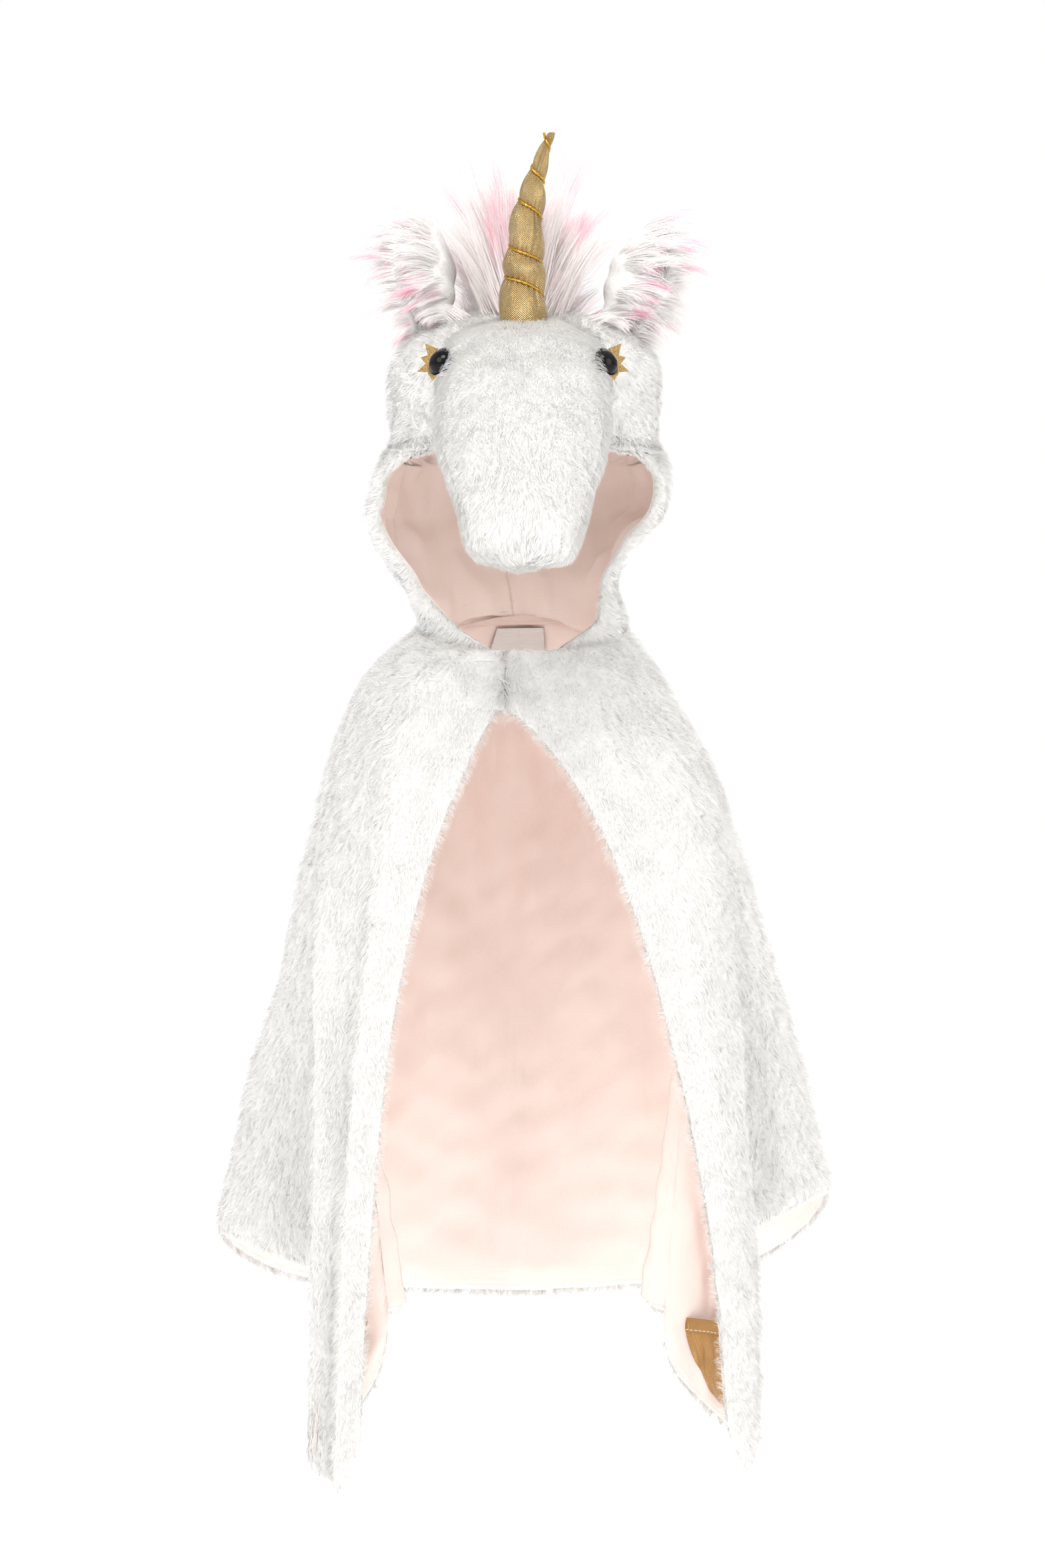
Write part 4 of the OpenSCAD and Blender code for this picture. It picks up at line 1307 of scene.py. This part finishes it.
def make_studio():
    scene = bpy.context.scene
    camera = bpy.data.objects.new("camera", bpy.data.cameras.new("camera"))
    scene.collection.objects.link(camera)
    camera.location = (-0.0005, -VIEW_DISTANCE, VIEW_MIDDLE)
    camera.rotation_euler = (np.pi / 2, 0, 0)
    camera.data.sensor_width = SENSOR
    camera.data.lens = SENSOR * VIEW_DISTANCE / VIEW_HEIGHT
    scene.camera = camera
    scene.view_settings.view_transform = "Standard"
    middle = (0, 0, -0.1)
    area_light("key", (-1.7, -2.3, 1.7), middle, 2.2, 36)
    area_light("fill", (2.2, -2.0, 0.9), middle, 2.4, 30)
    area_light("top", (-0.1, -1.0, 1.5), (0, -0.1, 0.15), 0.8, 14)
    area_light("rim", (0.6, 2.4, 1.6), middle, 2.0, 36)

    world = bpy.data.worlds.new("studio")
    scene.world = world
    world.use_nodes = True
    world.node_tree.nodes.clear()
    sky = Nodes(world.node_tree)
    split = sky.node("ShaderNodeSeparateXYZ", {0: sky.node("ShaderNodeTexCoord").outputs["Generated"]})
    height = sky.node("ShaderNodeMapRange", {"Value": split.outputs["Z"], "From Min": -1}).outputs[0]
    glow = sky.ramp(height, (0.0, (0.5, 0.49, 0.48)), (0.75, (1, 1, 1)))
    lit = sky.node("ShaderNodeBackground", {"Color": glow, "Strength": SKY_STRENGTH})
    seen = sky.node("ShaderNodeBackground", {"Color": (1, 1, 1, 1)})
    rays = sky.node("ShaderNodeLightPath")
    both = sky.node("ShaderNodeMixShader", {0: rays.outputs["Is Camera Ray"], 1: lit.outputs[0],
                                            2: seen.outputs[0]})
    sky.node("ShaderNodeOutputWorld", {0: both.outputs[0]})

    floor_paint = Paint("studio_floor", (0.94, 0.94, 0.94), Roughness=0.9, Emission_Color=(1, 1, 1, 1),
                        Emission_Strength=FLOOR_GLOW)
    grain = floor_paint.noise(floor_paint.place(), 2.0)
    floor_paint.color(floor_paint.ramp(grain, (0.3, (0.93, 0.93, 0.93)), (0.7, (0.95, 0.95, 0.95))))
    turn = np.linspace(0, 2 * np.pi, FLOOR_SIDES + 1)[:-1]
    disc = np.stack([FLOOR_REACH * np.cos(turn), FLOOR_REACH * np.sin(turn), FLOOR_DEPTH + 0 * turn], -1)
    floor = new_object("studio_floor", disc, np.arange(FLOOR_SIDES), np.array([FLOOR_SIDES]),
                       floor_paint.material)


make_studio()
make_cape()
make_closure()
make_pockets()
make_hood()
make_muzzle()
make_eyes()
make_mane()
make_horn()
make_ears()
dress("neck_tape", neck_binding)
dress("care_label", white_tape)
